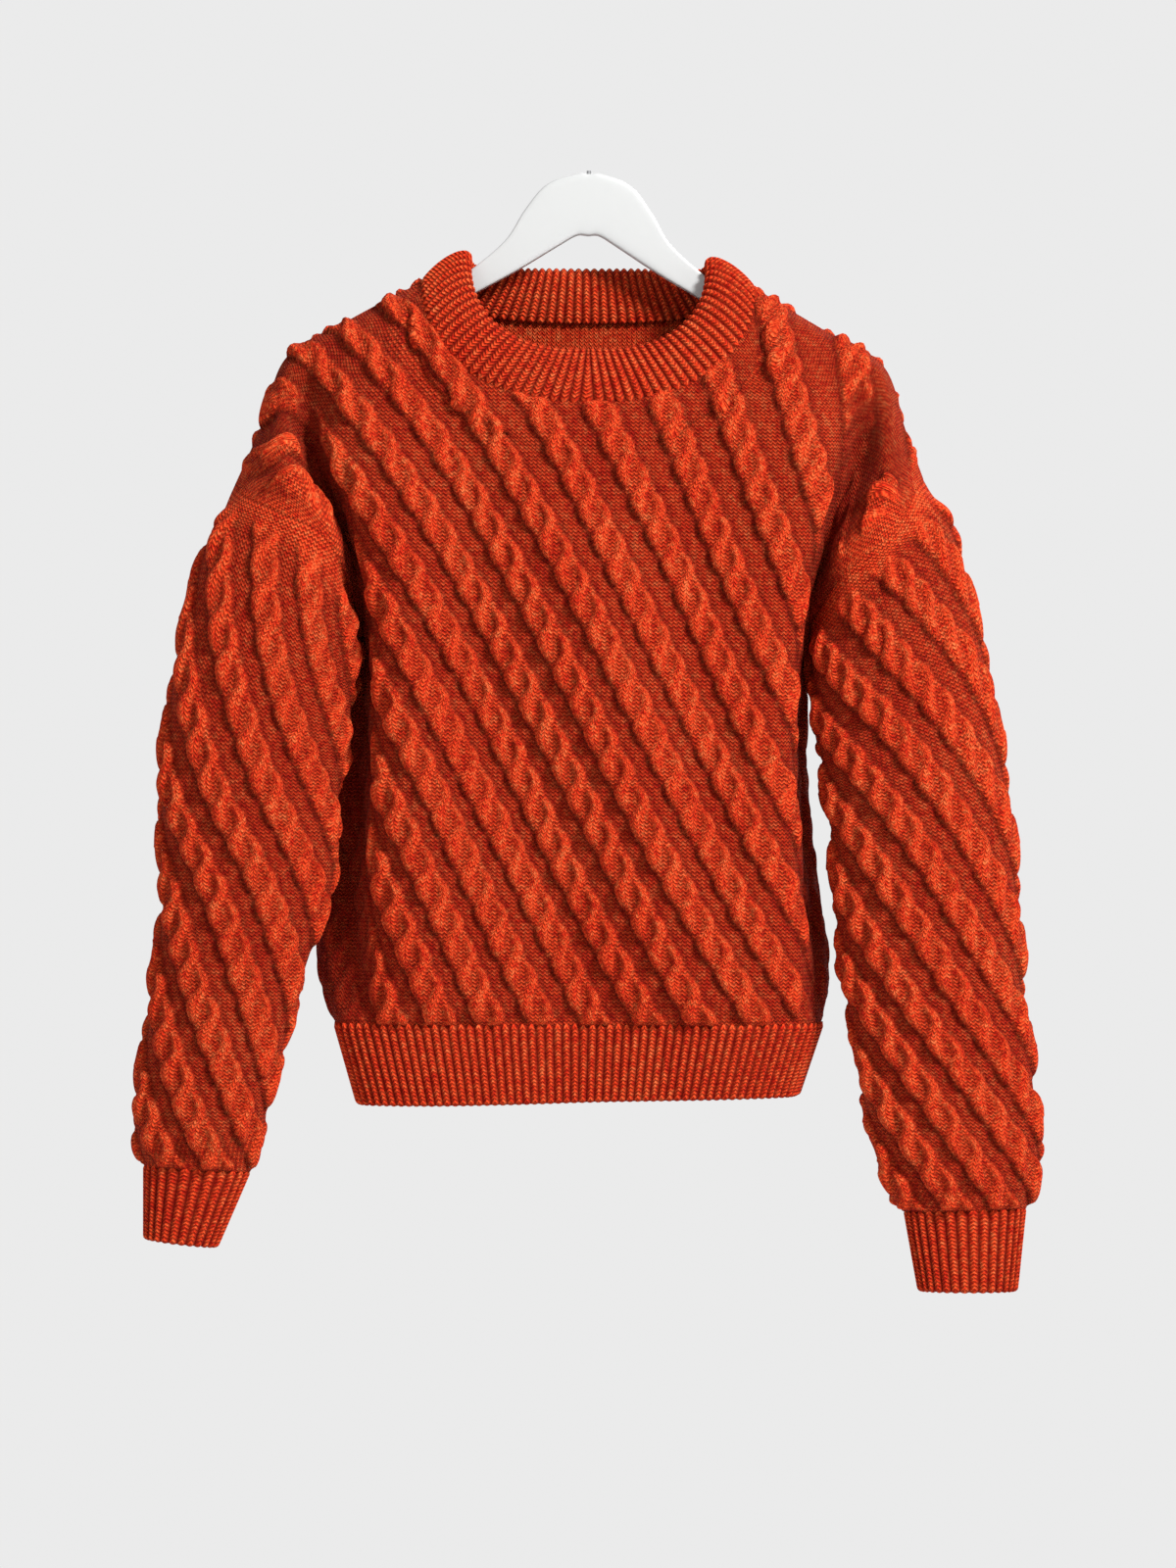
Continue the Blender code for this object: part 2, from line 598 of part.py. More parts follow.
def panel_shell(panel):
    """The outer rows with the cables, the plain inner rows, and the four rims between them."""
    shell = Shell()
    heights = row_heights()
    offsets = FULL_CABLE if panel.front else PLAIN_CABLE
    outer_rows = []
    outer_at = []
    outer_columns = []
    for v in heights:
        columns = top_columns() if v > 1 - 1e-9 else lattice(panel, v, offsets)
        rows = np.full(len(columns), v)
        points = panel.raw(columns, rows)
        normals = panel.normal(columns, rows)
        moved, normals = offset_seams(panel, columns, rows, points, normals)
        relief = panel.relief(columns, rows)
        outer_rows.append(shell.add(moved + normals * relief[:, None]))
        cable_start = cable_plan(panel.cloth_height(0, v))[1]
        outer_at.append(panel.across(columns, v) - (cable_start if panel.front else -cable_start))
        outer_columns.append(columns)
    for low, low_at, high, high_at in zip(outer_rows, outer_at, outer_rows[1:], outer_at[1:]):
        shell.strip(low, low_at, high, high_at, flip=not panel.front)

    inner_heights = inner_row_heights()
    inner_rows = []
    for v in inner_heights:
        columns = top_columns() if v > 1 - 1e-9 else inner_columns()
        rows = np.full(len(columns), v)
        points = panel.raw(columns, rows)
        normals = panel.normal(columns, rows)
        moved, normals = offset_seams(panel, columns, rows, points, normals)
        inner_rows.append((shell.add(moved - normals * WALL), columns))
    for (low, low_at), (high, high_at) in zip(inner_rows, inner_rows[1:]):
        shell.strip(low, low_at, high, high_at, flip=panel.front)

    shell.strip(outer_rows[0], outer_columns[0], inner_rows[0][0], inner_rows[0][1], flip=panel.front)
    inner_top, inner_top_columns = inner_rows[-1]
    shell.strip(outer_rows[-1], outer_columns[-1], inner_top, inner_top_columns, flip=not panel.front)
    for end, flip in ((0, panel.front), (-1, not panel.front)):
        outer_edge = [row[end] for row in outer_rows]
        inner_edge = [row[0][end] for row in inner_rows]
        shell.strip(outer_edge, heights, inner_edge, inner_heights, flip=not flip)
    return shell


class Sleeve:
    """A tube of rings. Columns run once round it, from left to right as seen from outside, from -1 at the
    underarm seam back to 1 there. Rows run from 0 at the armhole down to 1 at the cuff."""

    def __init__(self, table, left_side):
        self.table = np.array(table, float)
        self.left_side = left_side
        ends = (self.table[:, [0, 1]] + self.table[:, [2, 3]]) / 2
        self.length = np.concatenate([[0], np.cumsum(np.linalg.norm(np.diff(ends, axis=0), axis=1))])
        self.measure()

    def start(self, v):
        """Where the count of cables starts on a row: a quarter round from the underarm seam."""
        return self.across(0.5 if self.left_side else -0.5, v)

    def raw(self, u, v):
        """A ring is an ellipse: its width runs from its left end to its right end, its depth along Y, and
        its front and back are lifted square to the width by the rise."""
        u, v = np.broadcast_arrays(np.asarray(u, float), np.asarray(v, float))
        row = spline(self.length / self.length[-1], self.table, v)
        left_x, left_z, right_x, right_z, middle_y, half_depth, rise = np.moveaxis(row, -1, 0)
        start = math.pi if self.left_side else 0.0
        turn = start + (u + 1) * math.pi
        half_x, half_z = (right_x - left_x) / 2, (right_z - left_z) / 2
        width = np.hypot(half_x, half_z)
        lift = rise * np.abs(np.sin(turn))
        x = (left_x + right_x) / 2 - np.cos(turn) * half_x - lift * half_z / width
        z = (left_z + right_z) / 2 - np.cos(turn) * half_z + lift * half_x / width
        y = middle_y - half_depth * np.sin(turn)
        return np.stack([x, y, z], axis=-1)

    def measure(self):
        self.grid_u = np.linspace(-1, 1, 181)
        self.grid_v = np.linspace(0, 1, 91)
        points = self.raw(self.grid_u[None, :], self.grid_v[:, None])
        step = np.linalg.norm(np.diff(points, axis=1), axis=2)
        self.grid_a = np.concatenate([np.zeros((len(points), 1)), np.cumsum(step, axis=1)], axis=1)

    across = Panel.across

    def cable_place(self, u, v):
        """The cables wind round the sleeve, down to the right all round, as on the front."""
        v = np.asarray(v, float)
        pitch = SLEEVE_PITCH[0] + (SLEEVE_PITCH[1] - SLEEVE_PITCH[0]) * v
        wound = v * self.length[-1] * math.tan(math.radians(SLEEVE_LEAN))
        return (self.across(u, v) - self.start(v) - wound) / pitch, pitch

    def relief(self, u, v):
        place, pitch = self.cable_place(u, v)
        offset = (place - np.round(place)) * pitch
        lean = math.radians(SLEEVE_LEAN)
        down = -np.asarray(v, float) * self.length[-1]
        height = cable_height(offset * math.cos(lean), down / math.cos(lean))
        a = self.across(u, v)
        from_edge = np.minimum(a, self.across(1.0, v) - a)
        fade = smoothstep(0, SEAM_FADE, from_edge)
        fade = fade * smoothstep(0, ARMHOLE_FADE, v * self.length[-1])
        return height * fade * smoothstep(0, HEM_FADE, (1 - v) * self.length[-1])

    def normal(self, u, v):
        e = 0.004
        u, v = np.broadcast_arrays(np.asarray(u, float), np.asarray(v, float))
        du = self.raw(u + e, v) - self.raw(u - e, v)
        dv = self.raw(u, np.minimum(v + e, 1)) - self.raw(u, np.maximum(v - e, 0))
        n = unit(np.cross(dv, du))
        low = v > 1 - 1e-9
        if low.any():
            across = self.raw(0.5, 1.0) - self.raw(-0.5, 1.0)
            plane = unit(np.cross(unit(across), [0, 1.0, 0]))
            n[low] = unit(n[low] - (n[low] @ plane)[:, None] * plane)
        return n


def armhole_loop(front, back, sign, table):
    """The seam where a sleeve meets its armhole: the border points of the front and the back, once round
    from the armpit, with the sleeve's rim just below them."""
    heights = row_heights()
    rows = heights[heights > Panel.armpit - 1e-9]
    loop = []
    for panel in (front, back):
        columns = np.full(len(rows), float(sign))
        points = panel.raw(columns, rows)
        n = armhole_normals(points, table)
        inward = armhole_inward(panel, sign, rows, points, n)
        loop.append((points - inward * SEAM_HALF_GAP, n))
    (front_points, front_n), (back_points, back_n) = loop
    middle_armpit = (front_points[0] + back_points[0]) / 2
    middle_tip = (front_points[-1] + back_points[-1]) / 2
    tip_n = unit(front_n[-1] + back_n[-1])
    front_run = [middle_armpit, *front_points[1:-1], middle_tip]
    front_normals = [front_n[0], *front_n[1:-1], tip_n]
    back_run = [middle_armpit, *back_points[1:-1], middle_tip]
    back_normals = [front_n[0], *back_n[1:-1], tip_n]
    if sign < 0:
        points = back_run + front_run[::-1][1:]
        normals = back_normals + front_normals[::-1][1:]
    else:
        points = front_run + back_run[::-1][1:]
        normals = front_normals + back_normals[::-1][1:]
    places = np.concatenate([rows, 2 - rows[::-1][1:]])
    kept = np.isin(rows, inner_row_heights())
    return np.array(points), np.array(normals), places, np.concatenate([kept, kept[::-1][1:]])


def closed_row(shell, points):
    """Adds a ring of points whose last lies on its first, and repeats the first one's number at the end."""
    row = shell.add(points[:-1])
    return row + row[:1]


def sleeve_shell(sleeve, loop, loop_normals, loop_places, kept):
    """The outer rings with the cables, the plain inner rings, and the rims at the armhole and the cuff."""
    shell = Shell()
    count = int(round(sleeve.length[-1] / ROW_STEP))
    heights = np.linspace(0, 1, count + 1)
    loop_step = np.linalg.norm(np.diff(loop, axis=0), axis=1)
    loop_at = np.concatenate([[0], np.cumsum(loop_step)])
    shift = sleeve.length[-1] * math.tan(math.radians(SLEEVE_LEAN))
    rows = [closed_row(shell, loop)]
    places = [loop_at * sleeve.across(1.0, 0.0) / loop_at[-1] - sleeve.start(0.0)]
    for v in heights[1:]:
        columns = lattice(sleeve, v, PLAIN_CABLE)
        at = np.full(len(columns), v)
        points = sleeve.raw(columns, at) + sleeve.normal(columns, at) * sleeve.relief(columns, at)[:, None]
        if v == heights[-1]:
            points = points + up_the_sleeve(sleeve) * SEAM_HALF_GAP
        rows.append(closed_row(shell, points))
        places.append(sleeve.across(columns, v) - sleeve.start(v) - v * shift)
    for low, low_at, high, high_at in zip(rows, places, rows[1:], places[1:]):
        shell.strip(low, low_at, high, high_at, flip=True)

    inner_heights = heights[np.unique(np.r_[1, 2, 4:count:3, count])]
    inner = [closed_row(shell, (loop - loop_normals * WALL)[kept])]
    inner_at = [loop_at[kept] / loop_at[-1]]
    around = np.linspace(-1, 1, 19)
    for v in inner_heights:
        at = np.full(len(around), v)
        points = sleeve.raw(around, at) - sleeve.normal(around, at) * WALL
        if v == heights[-1]:
            points = points + up_the_sleeve(sleeve) * SEAM_HALF_GAP
        inner.append(closed_row(shell, points))
        inner_at.append((around + 1) / 2)
    for low, low_at, high, high_at in zip(inner, inner_at, inner[1:], inner_at[1:]):
        shell.strip(low, low_at, high, high_at)
    rim_strips(shell, rows[0], loop_places, inner[0], loop_places[kept])
    last = lattice(sleeve, heights[-1], PLAIN_CABLE)
    shell.strip(rows[-1], (last + 1) / 2, inner[-1], inner_at[-1], flip=True)
    return shell


def rim_strips(shell, outer, outer_at, inner, inner_at):
    """The sleeve's rim at the armhole, in two halves that both run up from the armpit, as the panels' do."""
    tip = int(np.argmin(np.abs(outer_at - 1)))
    inner_tip = int(np.argmin(np.abs(inner_at - 1)))
    shell.strip(outer[: tip + 1], outer_at[: tip + 1], inner[: inner_tip + 1], inner_at[: inner_tip + 1])
    outer_down, inner_down = outer[tip:][::-1], inner[inner_tip:][::-1]
    outer_down_at, inner_down_at = (2 - outer_at[tip:])[::-1], (2 - inner_at[inner_tip:])[::-1]
    shell.strip(outer_down, outer_down_at, inner_down, inner_down_at, flip=True)


def up_the_sleeve(sleeve):
    """Direction square to a sleeve's lowest ring, up the sleeve."""
    across = unit(sleeve.raw(0.5, 1.0) - sleeve.raw(-0.5, 1.0))
    up = np.cross(across, [0, 1.0, 0])
    return unit(up * np.sign(up[2]))


def ellipse_ring(row, turn):
    left_x, left_z, right_x, right_z, middle_y, half_depth, _ = row
    x = (left_x + right_x) / 2 - np.cos(turn) * (right_x - left_x) / 2
    z = (left_z + right_z) / 2 - np.cos(turn) * (right_z - left_z) / 2
    return np.stack([x, middle_y - half_depth * np.sin(turn), z], axis=-1)


def rib_columns(ribs):
    """Places round a ribbed band, and the share of the rib's height at each: two on top, one between."""
    start = np.arange(ribs)[:, None]
    places = (start + np.array([[0.0, 0.32, 0.68]])).ravel() / ribs
    heights = np.tile([0.0, 1.0, 1.0], ribs)
    return np.append(places, 1.0), np.append(heights, 0.0)


def ring_frame(points):
    """Outward normals of a closed ring that is nearly flat, in its own plane."""
    ahead = np.roll(points[:-1], -1, axis=0)
    behind = np.roll(points[:-1], 1, axis=0)
    along = unit(ahead - behind)
    centre = points[:-1].mean(axis=0)
    plane = unit(np.cross(points[:-1] - centre, ahead - centre).sum(axis=0))
    n = unit(np.cross(along, plane))
    n = n * np.sign((n * (points[:-1] - centre)).sum(axis=1).mean())
    return np.vstack([n, n[:1]]), plane * np.sign(plane[2])


def band_shell(top_ring, low_ring, ribs, wall, coarse):
    """A ribbed band between two closed rings of points, given as functions of the place round them."""
    shell = Shell()
    places, heights = rib_columns(ribs)
    plain = np.linspace(0, 1, coarse + 1)
    rows = {}
    for name, ring, lift in (("low", low_ring, 0.0), ("top", top_ring, -1.7 * SEAM_HALF_GAP)):
        inside = np.full(len(plain), -wall)
        for kind, at, offset in (("out", places, heights * RIB_HEIGHT), ("in", plain, inside)):
            points = ring(at)
            n, up = ring_frame(points)
            rows[name, kind] = closed_row(shell, points + n * offset[:, None] + up * lift)
    shell.strip(rows["low", "out"], places, rows["top", "out"], places)
    shell.strip(rows["low", "in"], plain, rows["top", "in"], plain, flip=True)
    shell.strip(rows["top", "out"], places, rows["top", "in"], plain)
    shell.strip(rows["low", "out"], places, rows["low", "in"], plain, flip=True)
    return shell


def cuff_shell(table):
    def ring(row):
        return lambda place: ellipse_ring(row, 2 * math.pi * np.asarray(place))

    top, low = table
    size = ellipse_ring(low, np.linspace(0, 2 * math.pi, 60))
    girth = np.linalg.norm(np.diff(size, axis=0), axis=1).sum()
    return band_shell(ring(top), ring(low), int(round(girth / CUFF_RIB_PITCH)), WALL, 20)


def hem_shell(front, back):
    """The band round the bottom of the body: its upper ring is the panels' lower edge."""
    u = np.linspace(-1, 1, 121)
    front_edge = front.raw(u, np.zeros(len(u)))
    back_edge = back.raw(u, np.zeros(len(u)))[::-1]
    loop = np.vstack([front_edge, back_edge[1:]])
    run = np.concatenate([[0], np.cumsum(np.linalg.norm(np.diff(loop, axis=0), axis=1))])

    def top(place):
        return np.stack([np.interp(np.asarray(place) * run[-1], run, loop[:, k]) for k in range(3)], axis=-1)

    def low(place):
        points = top(place)
        points[:, 0] = HEM_LEFT[1] + (points[:, 0] - HEM_LEFT[0]) * HEM_NARROWING
        share = (points[:, 0] - HEM_LEFT[1]) / HEM_LOW_WIDTH
        points[:, 2] = HEM_LOW_Z[0] + (HEM_LOW_Z[1] - HEM_LOW_Z[0]) * smoothstep(0, 1, share)
        points[:, 1] = points[:, 1] * HEM_LOW_DEPTH
        return points

    return band_shell(top, low, int(round(run[-1] / RIB_PITCH)), WALL, 44)


def neck_loop():
    """The neckline once round: points, directions up the band and normals, from the left neck point by the
    front to the right one and back behind. The two panels' points along the top row are the knots."""
    quarter = np.linspace(0, 1, NECK_STEPS + 1) * math.pi / 2
    runs = []
    for front, signs in ((True, (-1, 1)), (False, (1, -1))):
        first = [part[::-1] for part in neck_ring(quarter, front, float(signs[0]))]
        second = neck_ring(quarter, front, float(signs[1]))
        runs.append([np.vstack([a, b[1:]]) for a, b in zip(first, second)])
    return [np.vstack([a, b[1:]]) for a, b in zip(*runs)]


def neckband_shell():
    """A folded band: it stands on the neckline, leans in, and turns over in a round fold at the top."""
    points, ups, normals = neck_loop()
    mid = points + ups * BAND_HEIGHT * 0.5
    mid_run = np.concatenate([[0], np.cumsum(np.linalg.norm(np.diff(mid, axis=0), axis=1))])
    ribs = int(round(mid_run[-1] / BAND_RIB_PITCH))
    places, heights = rib_columns(ribs)
    plain = np.linspace(0, 1, 49)
    knots = mid_run / mid_run[-1]

    def at(values, place):
        return np.stack([np.interp(place, knots, values[:, k]) for k in range(3)], axis=-1)

    shell = Shell()
    # up the band and out from its face: the outside from the seam to the fold, then the plain inside
    profile = (
        (2 * SEAM_HALF_GAP, 0.0, 0.6),
        (BAND_HEIGHT * 0.45, 1.0, 1.0),
        (BAND_HEIGHT - 4.0, 0.0, 1.0),
        (BAND_HEIGHT, -BAND_WALL / 2, 0.3),
    )
    rows = []
    for up, out, share in profile:
        p, d, n = at(points, places), unit(at(ups, places)), unit(at(normals, places))
        offset = out + heights * RIB_HEIGHT * share
        rows.append((closed_row(shell, p + d * up + n * offset[:, None]), places))
    for up, out in ((BAND_HEIGHT - 4.0, -BAND_WALL), (1.4, -BAND_WALL)):
        p, d, n = at(points, plain), unit(at(ups, plain)), unit(at(normals, plain))
        rows.append((closed_row(shell, p + d * up + n * out), plain))
    rows.append(rows[0])
    for (low, low_at), (high, high_at) in zip(rows, rows[1:]):
        shell.strip(low, low_at, high, high_at)
    return shell


def hanger(material, collection):
    """A plate cut to the hanger's outline, with rounded edges."""
    curve = bpy.data.curves.new("hanger_outline", "CURVE")
    curve.dimensions = "2D"
    curve.fill_mode = "BOTH"
    inset = HANGER_ROUNDING
    right = np.array(HANGER_OUTLINE, float)
    left = right[::-1] * np.array([-1, 1])
    outline = np.vstack([right, left])
    spline_points = curve.splines.new("POLY")
    spline_points.points.add(len(outline) - 1)
    for point, (x, z) in zip(spline_points.points, outline):
        point.co = (x * MM, z * MM, 0, 1)
    spline_points.use_cyclic_u = True
    curve.extrude = (HANGER_THICKNESS / 2 - inset) * MM
    curve.bevel_depth = inset * MM
    curve.bevel_resolution = 1
    curve.offset = -inset * MM
    rough = bpy.data.objects.new("hanger_outline", curve)
    collection.objects.link(rough)
    rough.rotation_euler = (math.pi / 2, math.radians(HANGER_TILT), 0)
    bpy.context.view_layer.update()
    evaluated = rough.evaluated_get(bpy.context.evaluated_depsgraph_get())
    mesh = bpy.data.meshes.new_from_object(evaluated)
    body = bpy.data.objects.new("hanger", mesh)
    body.matrix_world = rough.matrix_world
    collection.objects.link(body)
    bpy.data.objects.remove(rough, do_unlink=True)
    weld = bmesh.new()
    weld.from_mesh(mesh)
    bmesh.ops.remove_doubles(weld, verts=weld.verts, dist=0.00001)
    bmesh.ops.recalc_face_normals(weld, faces=weld.faces)
    weld.to_mesh(mesh)
    weld.free()
    mesh.materials.clear()
    mesh.materials.append(material)
    return body


def hook_stub(material, collection, body, cutters):
    """The lower end of the hook's wire, in a hole in the top of the hanger."""
    hole_radius = HOOK_RADIUS + HOOK_PLAY
    bpy.ops.mesh.primitive_cylinder_add(vertices=16, radius=hole_radius * MM, depth=HOOK_SEAT * 2 * MM)
    hole = bpy.context.object
    hole.name = "hook_hole"
    hole.hide_render = True
    for held in list(hole.users_collection):
        held.objects.unlink(hole)
    cutters.objects.link(hole)
    cut = body.modifiers.new("hook hole", "BOOLEAN")
    cut.object = hole
    length = HOOK_SEAT - HOOK_PLAY + HOOK_PROUD
    middle = HOOK_PROUD - length / 2
    bpy.ops.mesh.primitive_cylinder_add(
        vertices=16, radius=HOOK_RADIUS * MM, depth=length * MM, location=(0, 0, middle * MM)
    )
    stub = bpy.context.object
    stub.name = "hook_stub"
    for held in list(stub.users_collection):
        held.objects.unlink(stub)
    collection.objects.link(stub)
    stub.data.materials.append(material)


def build_all():
    clear_scene()
    collection = bpy.data.collections.new("sweater_on_hanger")
    cutters = bpy.data.collections.new("cutters")
    bpy.context.scene.collection.children.link(collection)
    bpy.context.scene.collection.children.link(cutters)
    wool = knit_material("burnt_orange_wool", (0.42, 0.035, 0.012), 0.95)
    plastic = knit_material("white_plastic", (0.85, 0.85, 0.84), 0.35)
    steel = knit_material("steel_wire", (0.35, 0.35, 0.36), 0.3)
    steel.node_tree.nodes["Principled BSDF"].inputs["Metallic"].default_value = 1.0
    front = Panel(True)
    back = Panel(False)
    panel_shell(front).to_object("front", wool, collection)
    panel_shell(back).to_object("back", wool, collection)
    for name, sign, table in (("left", -1, LEFT_SLEEVE), ("right", 1, RIGHT_SLEEVE)):
        seam = armhole_loop(front, back, sign, table)
        sleeve_shell(Sleeve(table, sign < 0), *seam).to_object("sleeve_" + name, wool, collection)
    cuff_shell(LEFT_CUFF).to_object("cuff_left", wool, collection)
    cuff_shell(RIGHT_CUFF).to_object("cuff_right", wool, collection)
    hem_shell(front, back).to_object("hem_rib", wool, collection)
    neckband_shell().to_object("neckband", wool, collection)
    hook_stub(steel, collection, hanger(plastic, collection), cutters)


build_all()
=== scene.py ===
# %% [markdown]
# # A cable-knit sweater on its hanger
# The solids of the sweater already hang in their places: thin walls with the cables raised in them. This
# lesson dresses them. Each knitted piece gets a fine surface that follows the same shape, with round
# strands that really pass over each other, and a wool that has stitches, heather and a soft nap.

# %% Load the frame
import math

import bpy
import numpy as np
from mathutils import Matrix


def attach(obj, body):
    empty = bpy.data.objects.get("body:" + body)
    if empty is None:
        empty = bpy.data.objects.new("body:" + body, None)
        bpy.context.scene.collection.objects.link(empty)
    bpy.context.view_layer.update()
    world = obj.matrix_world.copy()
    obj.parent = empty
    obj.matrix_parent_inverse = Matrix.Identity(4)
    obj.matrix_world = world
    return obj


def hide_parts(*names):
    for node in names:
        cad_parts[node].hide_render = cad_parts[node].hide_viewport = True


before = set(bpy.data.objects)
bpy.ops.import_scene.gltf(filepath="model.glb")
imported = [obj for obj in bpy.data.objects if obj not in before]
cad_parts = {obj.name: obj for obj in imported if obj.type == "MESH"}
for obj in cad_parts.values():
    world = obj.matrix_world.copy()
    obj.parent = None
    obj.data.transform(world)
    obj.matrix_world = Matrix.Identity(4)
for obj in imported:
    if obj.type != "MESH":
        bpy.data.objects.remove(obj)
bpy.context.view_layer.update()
MM = 0.001
print("solids:", sorted(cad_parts))

# %% [markdown]
# ## The camera
# The photograph was taken level with the middle of the picture, from a few metres away. A long lens keeps
# the sleeves from looking wider than they are. The lens follows from the distance and from the height
# that the picture covers at the hanger.

# %% Place the camera
CAMERA_DISTANCE = 3.4
PICTURE_HEIGHT = 1.120  # metres covered by the picture at the hanger
PICTURE_MIDDLE = (-0.0007, -0.4354)  # x and z
SENSOR = 36.0

camera = bpy.data.objects.new("camera", bpy.data.cameras.new("camera"))
camera.location = (PICTURE_MIDDLE[0], -CAMERA_DISTANCE, PICTURE_MIDDLE[1])
camera.rotation_euler = (math.pi / 2, 0, 0)
camera.data.sensor_width = SENSOR
camera.data.lens = SENSOR * CAMERA_DISTANCE / PICTURE_HEIGHT
bpy.context.scene.collection.objects.link(camera)
bpy.context.scene.camera = camera
print("lens:", round(camera.data.lens, 1), "mm")

# %% [markdown]
# ## Curves and slopes
# Cloth that hangs has no straight lines, so a few rows of measured points are joined by a smooth curve. A
# cubic between two points, with its slope at each point taken from the neighbours, passes through all of
# them and never swings far past them.

# %% Small tools for arrays


def unit(vectors):
    """Each vector divided by its length."""
    vectors = np.asarray(vectors, float)
    return vectors / np.maximum(np.linalg.norm(vectors, axis=-1, keepdims=True), 1e-12)


def smoothstep(low, high, value):
    """0 below low and 1 above high, with 3t² - 2t³ between them."""
    t = np.clip((np.asarray(value, float) - low) / (high - low), 0, 1)
    return t * t * (3 - 2 * t)


def slopes(knots, values):
    """The slope of each step, and one for each knot: the mean of the two beside it, in which the nearer
    neighbour counts for more."""
    step = np.diff(knots).reshape((-1,) + (1,) * (values.ndim - 1))
    slope = np.diff(values, axis=0) / step
    middle = (slope[:-1] * step[1:] + slope[1:] * step[:-1]) / (step[:-1] + step[1:])
    return slope, np.concatenate([slope[:1], middle, slope[-1:]])


def between(knots, at, axes):
    """For each place: the knot before it, the step to the next one and the share of it passed, shaped for
    values with that many axes of their own."""
    k = np.clip(np.searchsorted(knots, at, side="right") - 1, 0, len(knots) - 2)
    shape = at.shape + (1,) * axes
    step = (knots[k + 1] - knots[k]).reshape(shape)
    return k, step, (at - knots[k]).reshape(shape) / step


def cubic(t, step, low, leaving, high, arriving):
    """From the value low to the value high over a step, of which t is passed, with the slopes at its
    ends."""
    return (
        (2 * t**3 - 3 * t**2 + 1) * low
        + (t**3 - 2 * t**2 + t) * step * leaving
        + (3 * t**2 - 2 * t**3) * high
        + (t**3 - t**2) * step * arriving
    )


def spline(knots, values, at):
    """A cubic from each value to the next one, smooth where they meet."""
    knots, values = np.asarray(knots, float), np.asarray(values, float)
    at = np.clip(np.asarray(at, float), knots[0], knots[-1])
    k, step, t = between(knots, at, values.ndim - 1)
    tangent = slopes(knots, values)[1]
    return cubic(t, step, values[k], tangent[k], values[k + 1], tangent[k + 1])


def running_length(points):
    """Distance along a line of points from its first one, or along each row of a grid of points."""
    step = np.linalg.norm(np.diff(points, axis=-2), axis=-1)
    return np.concatenate([np.zeros(step.shape[:-1] + (1,)), np.cumsum(step, axis=-1)], axis=-1)


def resample(line, run, at):
    """The points of a line at other distances along it."""
    return np.stack([np.interp(at, run, line[:, k]) for k in range(3)], axis=-1)


def waves(a, b, *terms):
    """A slow unevenness: the sum of sine waves, each with its strength, its two lengths and its phase."""
    return sum(size * np.sin(a / along_a + b / along_b + phase) for size, along_a, along_b, phase in terms)


def softened(values, reach):
    """A running mean over 2 · reach + 1 points along rows and along columns, taken twice."""
    span = 2 * reach + 1
    for axis in (0, 1, 0, 1):
        room = [(0, 0), (0, 0)]
        room[axis] = (reach + 1, reach)
        total = np.moveaxis(np.cumsum(np.pad(values, room, mode="edge"), axis=axis), axis, 0)
        values = np.moveaxis((total[span:] - total[:-span]) / span, 0, axis)
    return values


def folds(table, a, b):
    """Soft ridges and troughs on a surface with the coordinates a and b. Each is a bell across its line,
    and along it a flatter one that ends softly: height · exp(-(across/width)²) ·
    exp(-(along/length)⁴)."""
    total = np.zeros(np.broadcast(a, b).shape)
    for middle_a, middle_b, turn, half_length, half_width, height in table:
        c, s = math.cos(math.radians(turn)), math.sin(math.radians(turn))
        along = (a - middle_a) * c + (b - middle_b) * s
        across = (b - middle_b) * c - (a - middle_a) * s
        total += height * np.exp(-((across / half_width) ** 2) - (along / half_length) ** 4)
    return total


print("spline check:", spline([0, 1, 2], [0, 1, 4], np.array([0.5, 1.5])))

# %% [markdown]
# ## From a grid to cloth
# A knitted wall has an outer face, an inner face and rims. The outer face carries the relief and needs
# many points. The inner face is plain, so it has each third one only, and a rim joins three steps of the
# outer face to one of the inner. Maps of stitches are kept for each corner of a face, because on a tube
# the last column of stitches meets the first one.

# %% Build walls from grids
SAME_PLACE = 1e-4  # corners nearer than this share a point
INNER_LIGHT = 0.45  # painted light on the inner face: a painted shade, since the other face shades it


def grid_normals(points, across_wraps=False, along_wraps=False):
    """Unit normals of a grid: the cross product of the differences along its columns and along its
    rows."""
    differences = []
    for axis, wraps in ((1, across_wraps), (0, along_wraps)):
        if wraps:
            ring = np.delete(points, -1, axis=axis)
            step = np.roll(ring, -1, axis=axis) - np.roll(ring, 1, axis=axis)
            differences.append(np.concatenate([step, np.take(step, [0], axis=axis)], axis=axis))
        else:
            differences.append(np.gradient(points, axis=axis))
    return unit(np.cross(*differences))


def quads(numbers):
    """Faces between neighbouring rows and columns of a grid of point numbers."""
    corners = (numbers[:-1, :-1], numbers[:-1, 1:], numbers[1:, 1:], numbers[1:, :-1])
    return np.stack([c.ravel() for c in corners], axis=1)


def rim(fine, coarse):
    """Triangles between a line of points and one with a third of the steps."""
    f0, f1, f2, f3 = fine[:-1:3], fine[1::3], fine[2::3], fine[3::3]
    c0, c1 = coarse[:-1], coarse[1:]
    triangles = [(f0, f1, c0), (f1, f2, c0), (f2, c1, c0), (f2, f3, c1)]
    return np.concatenate([np.stack(t, axis=1) for t in triangles])


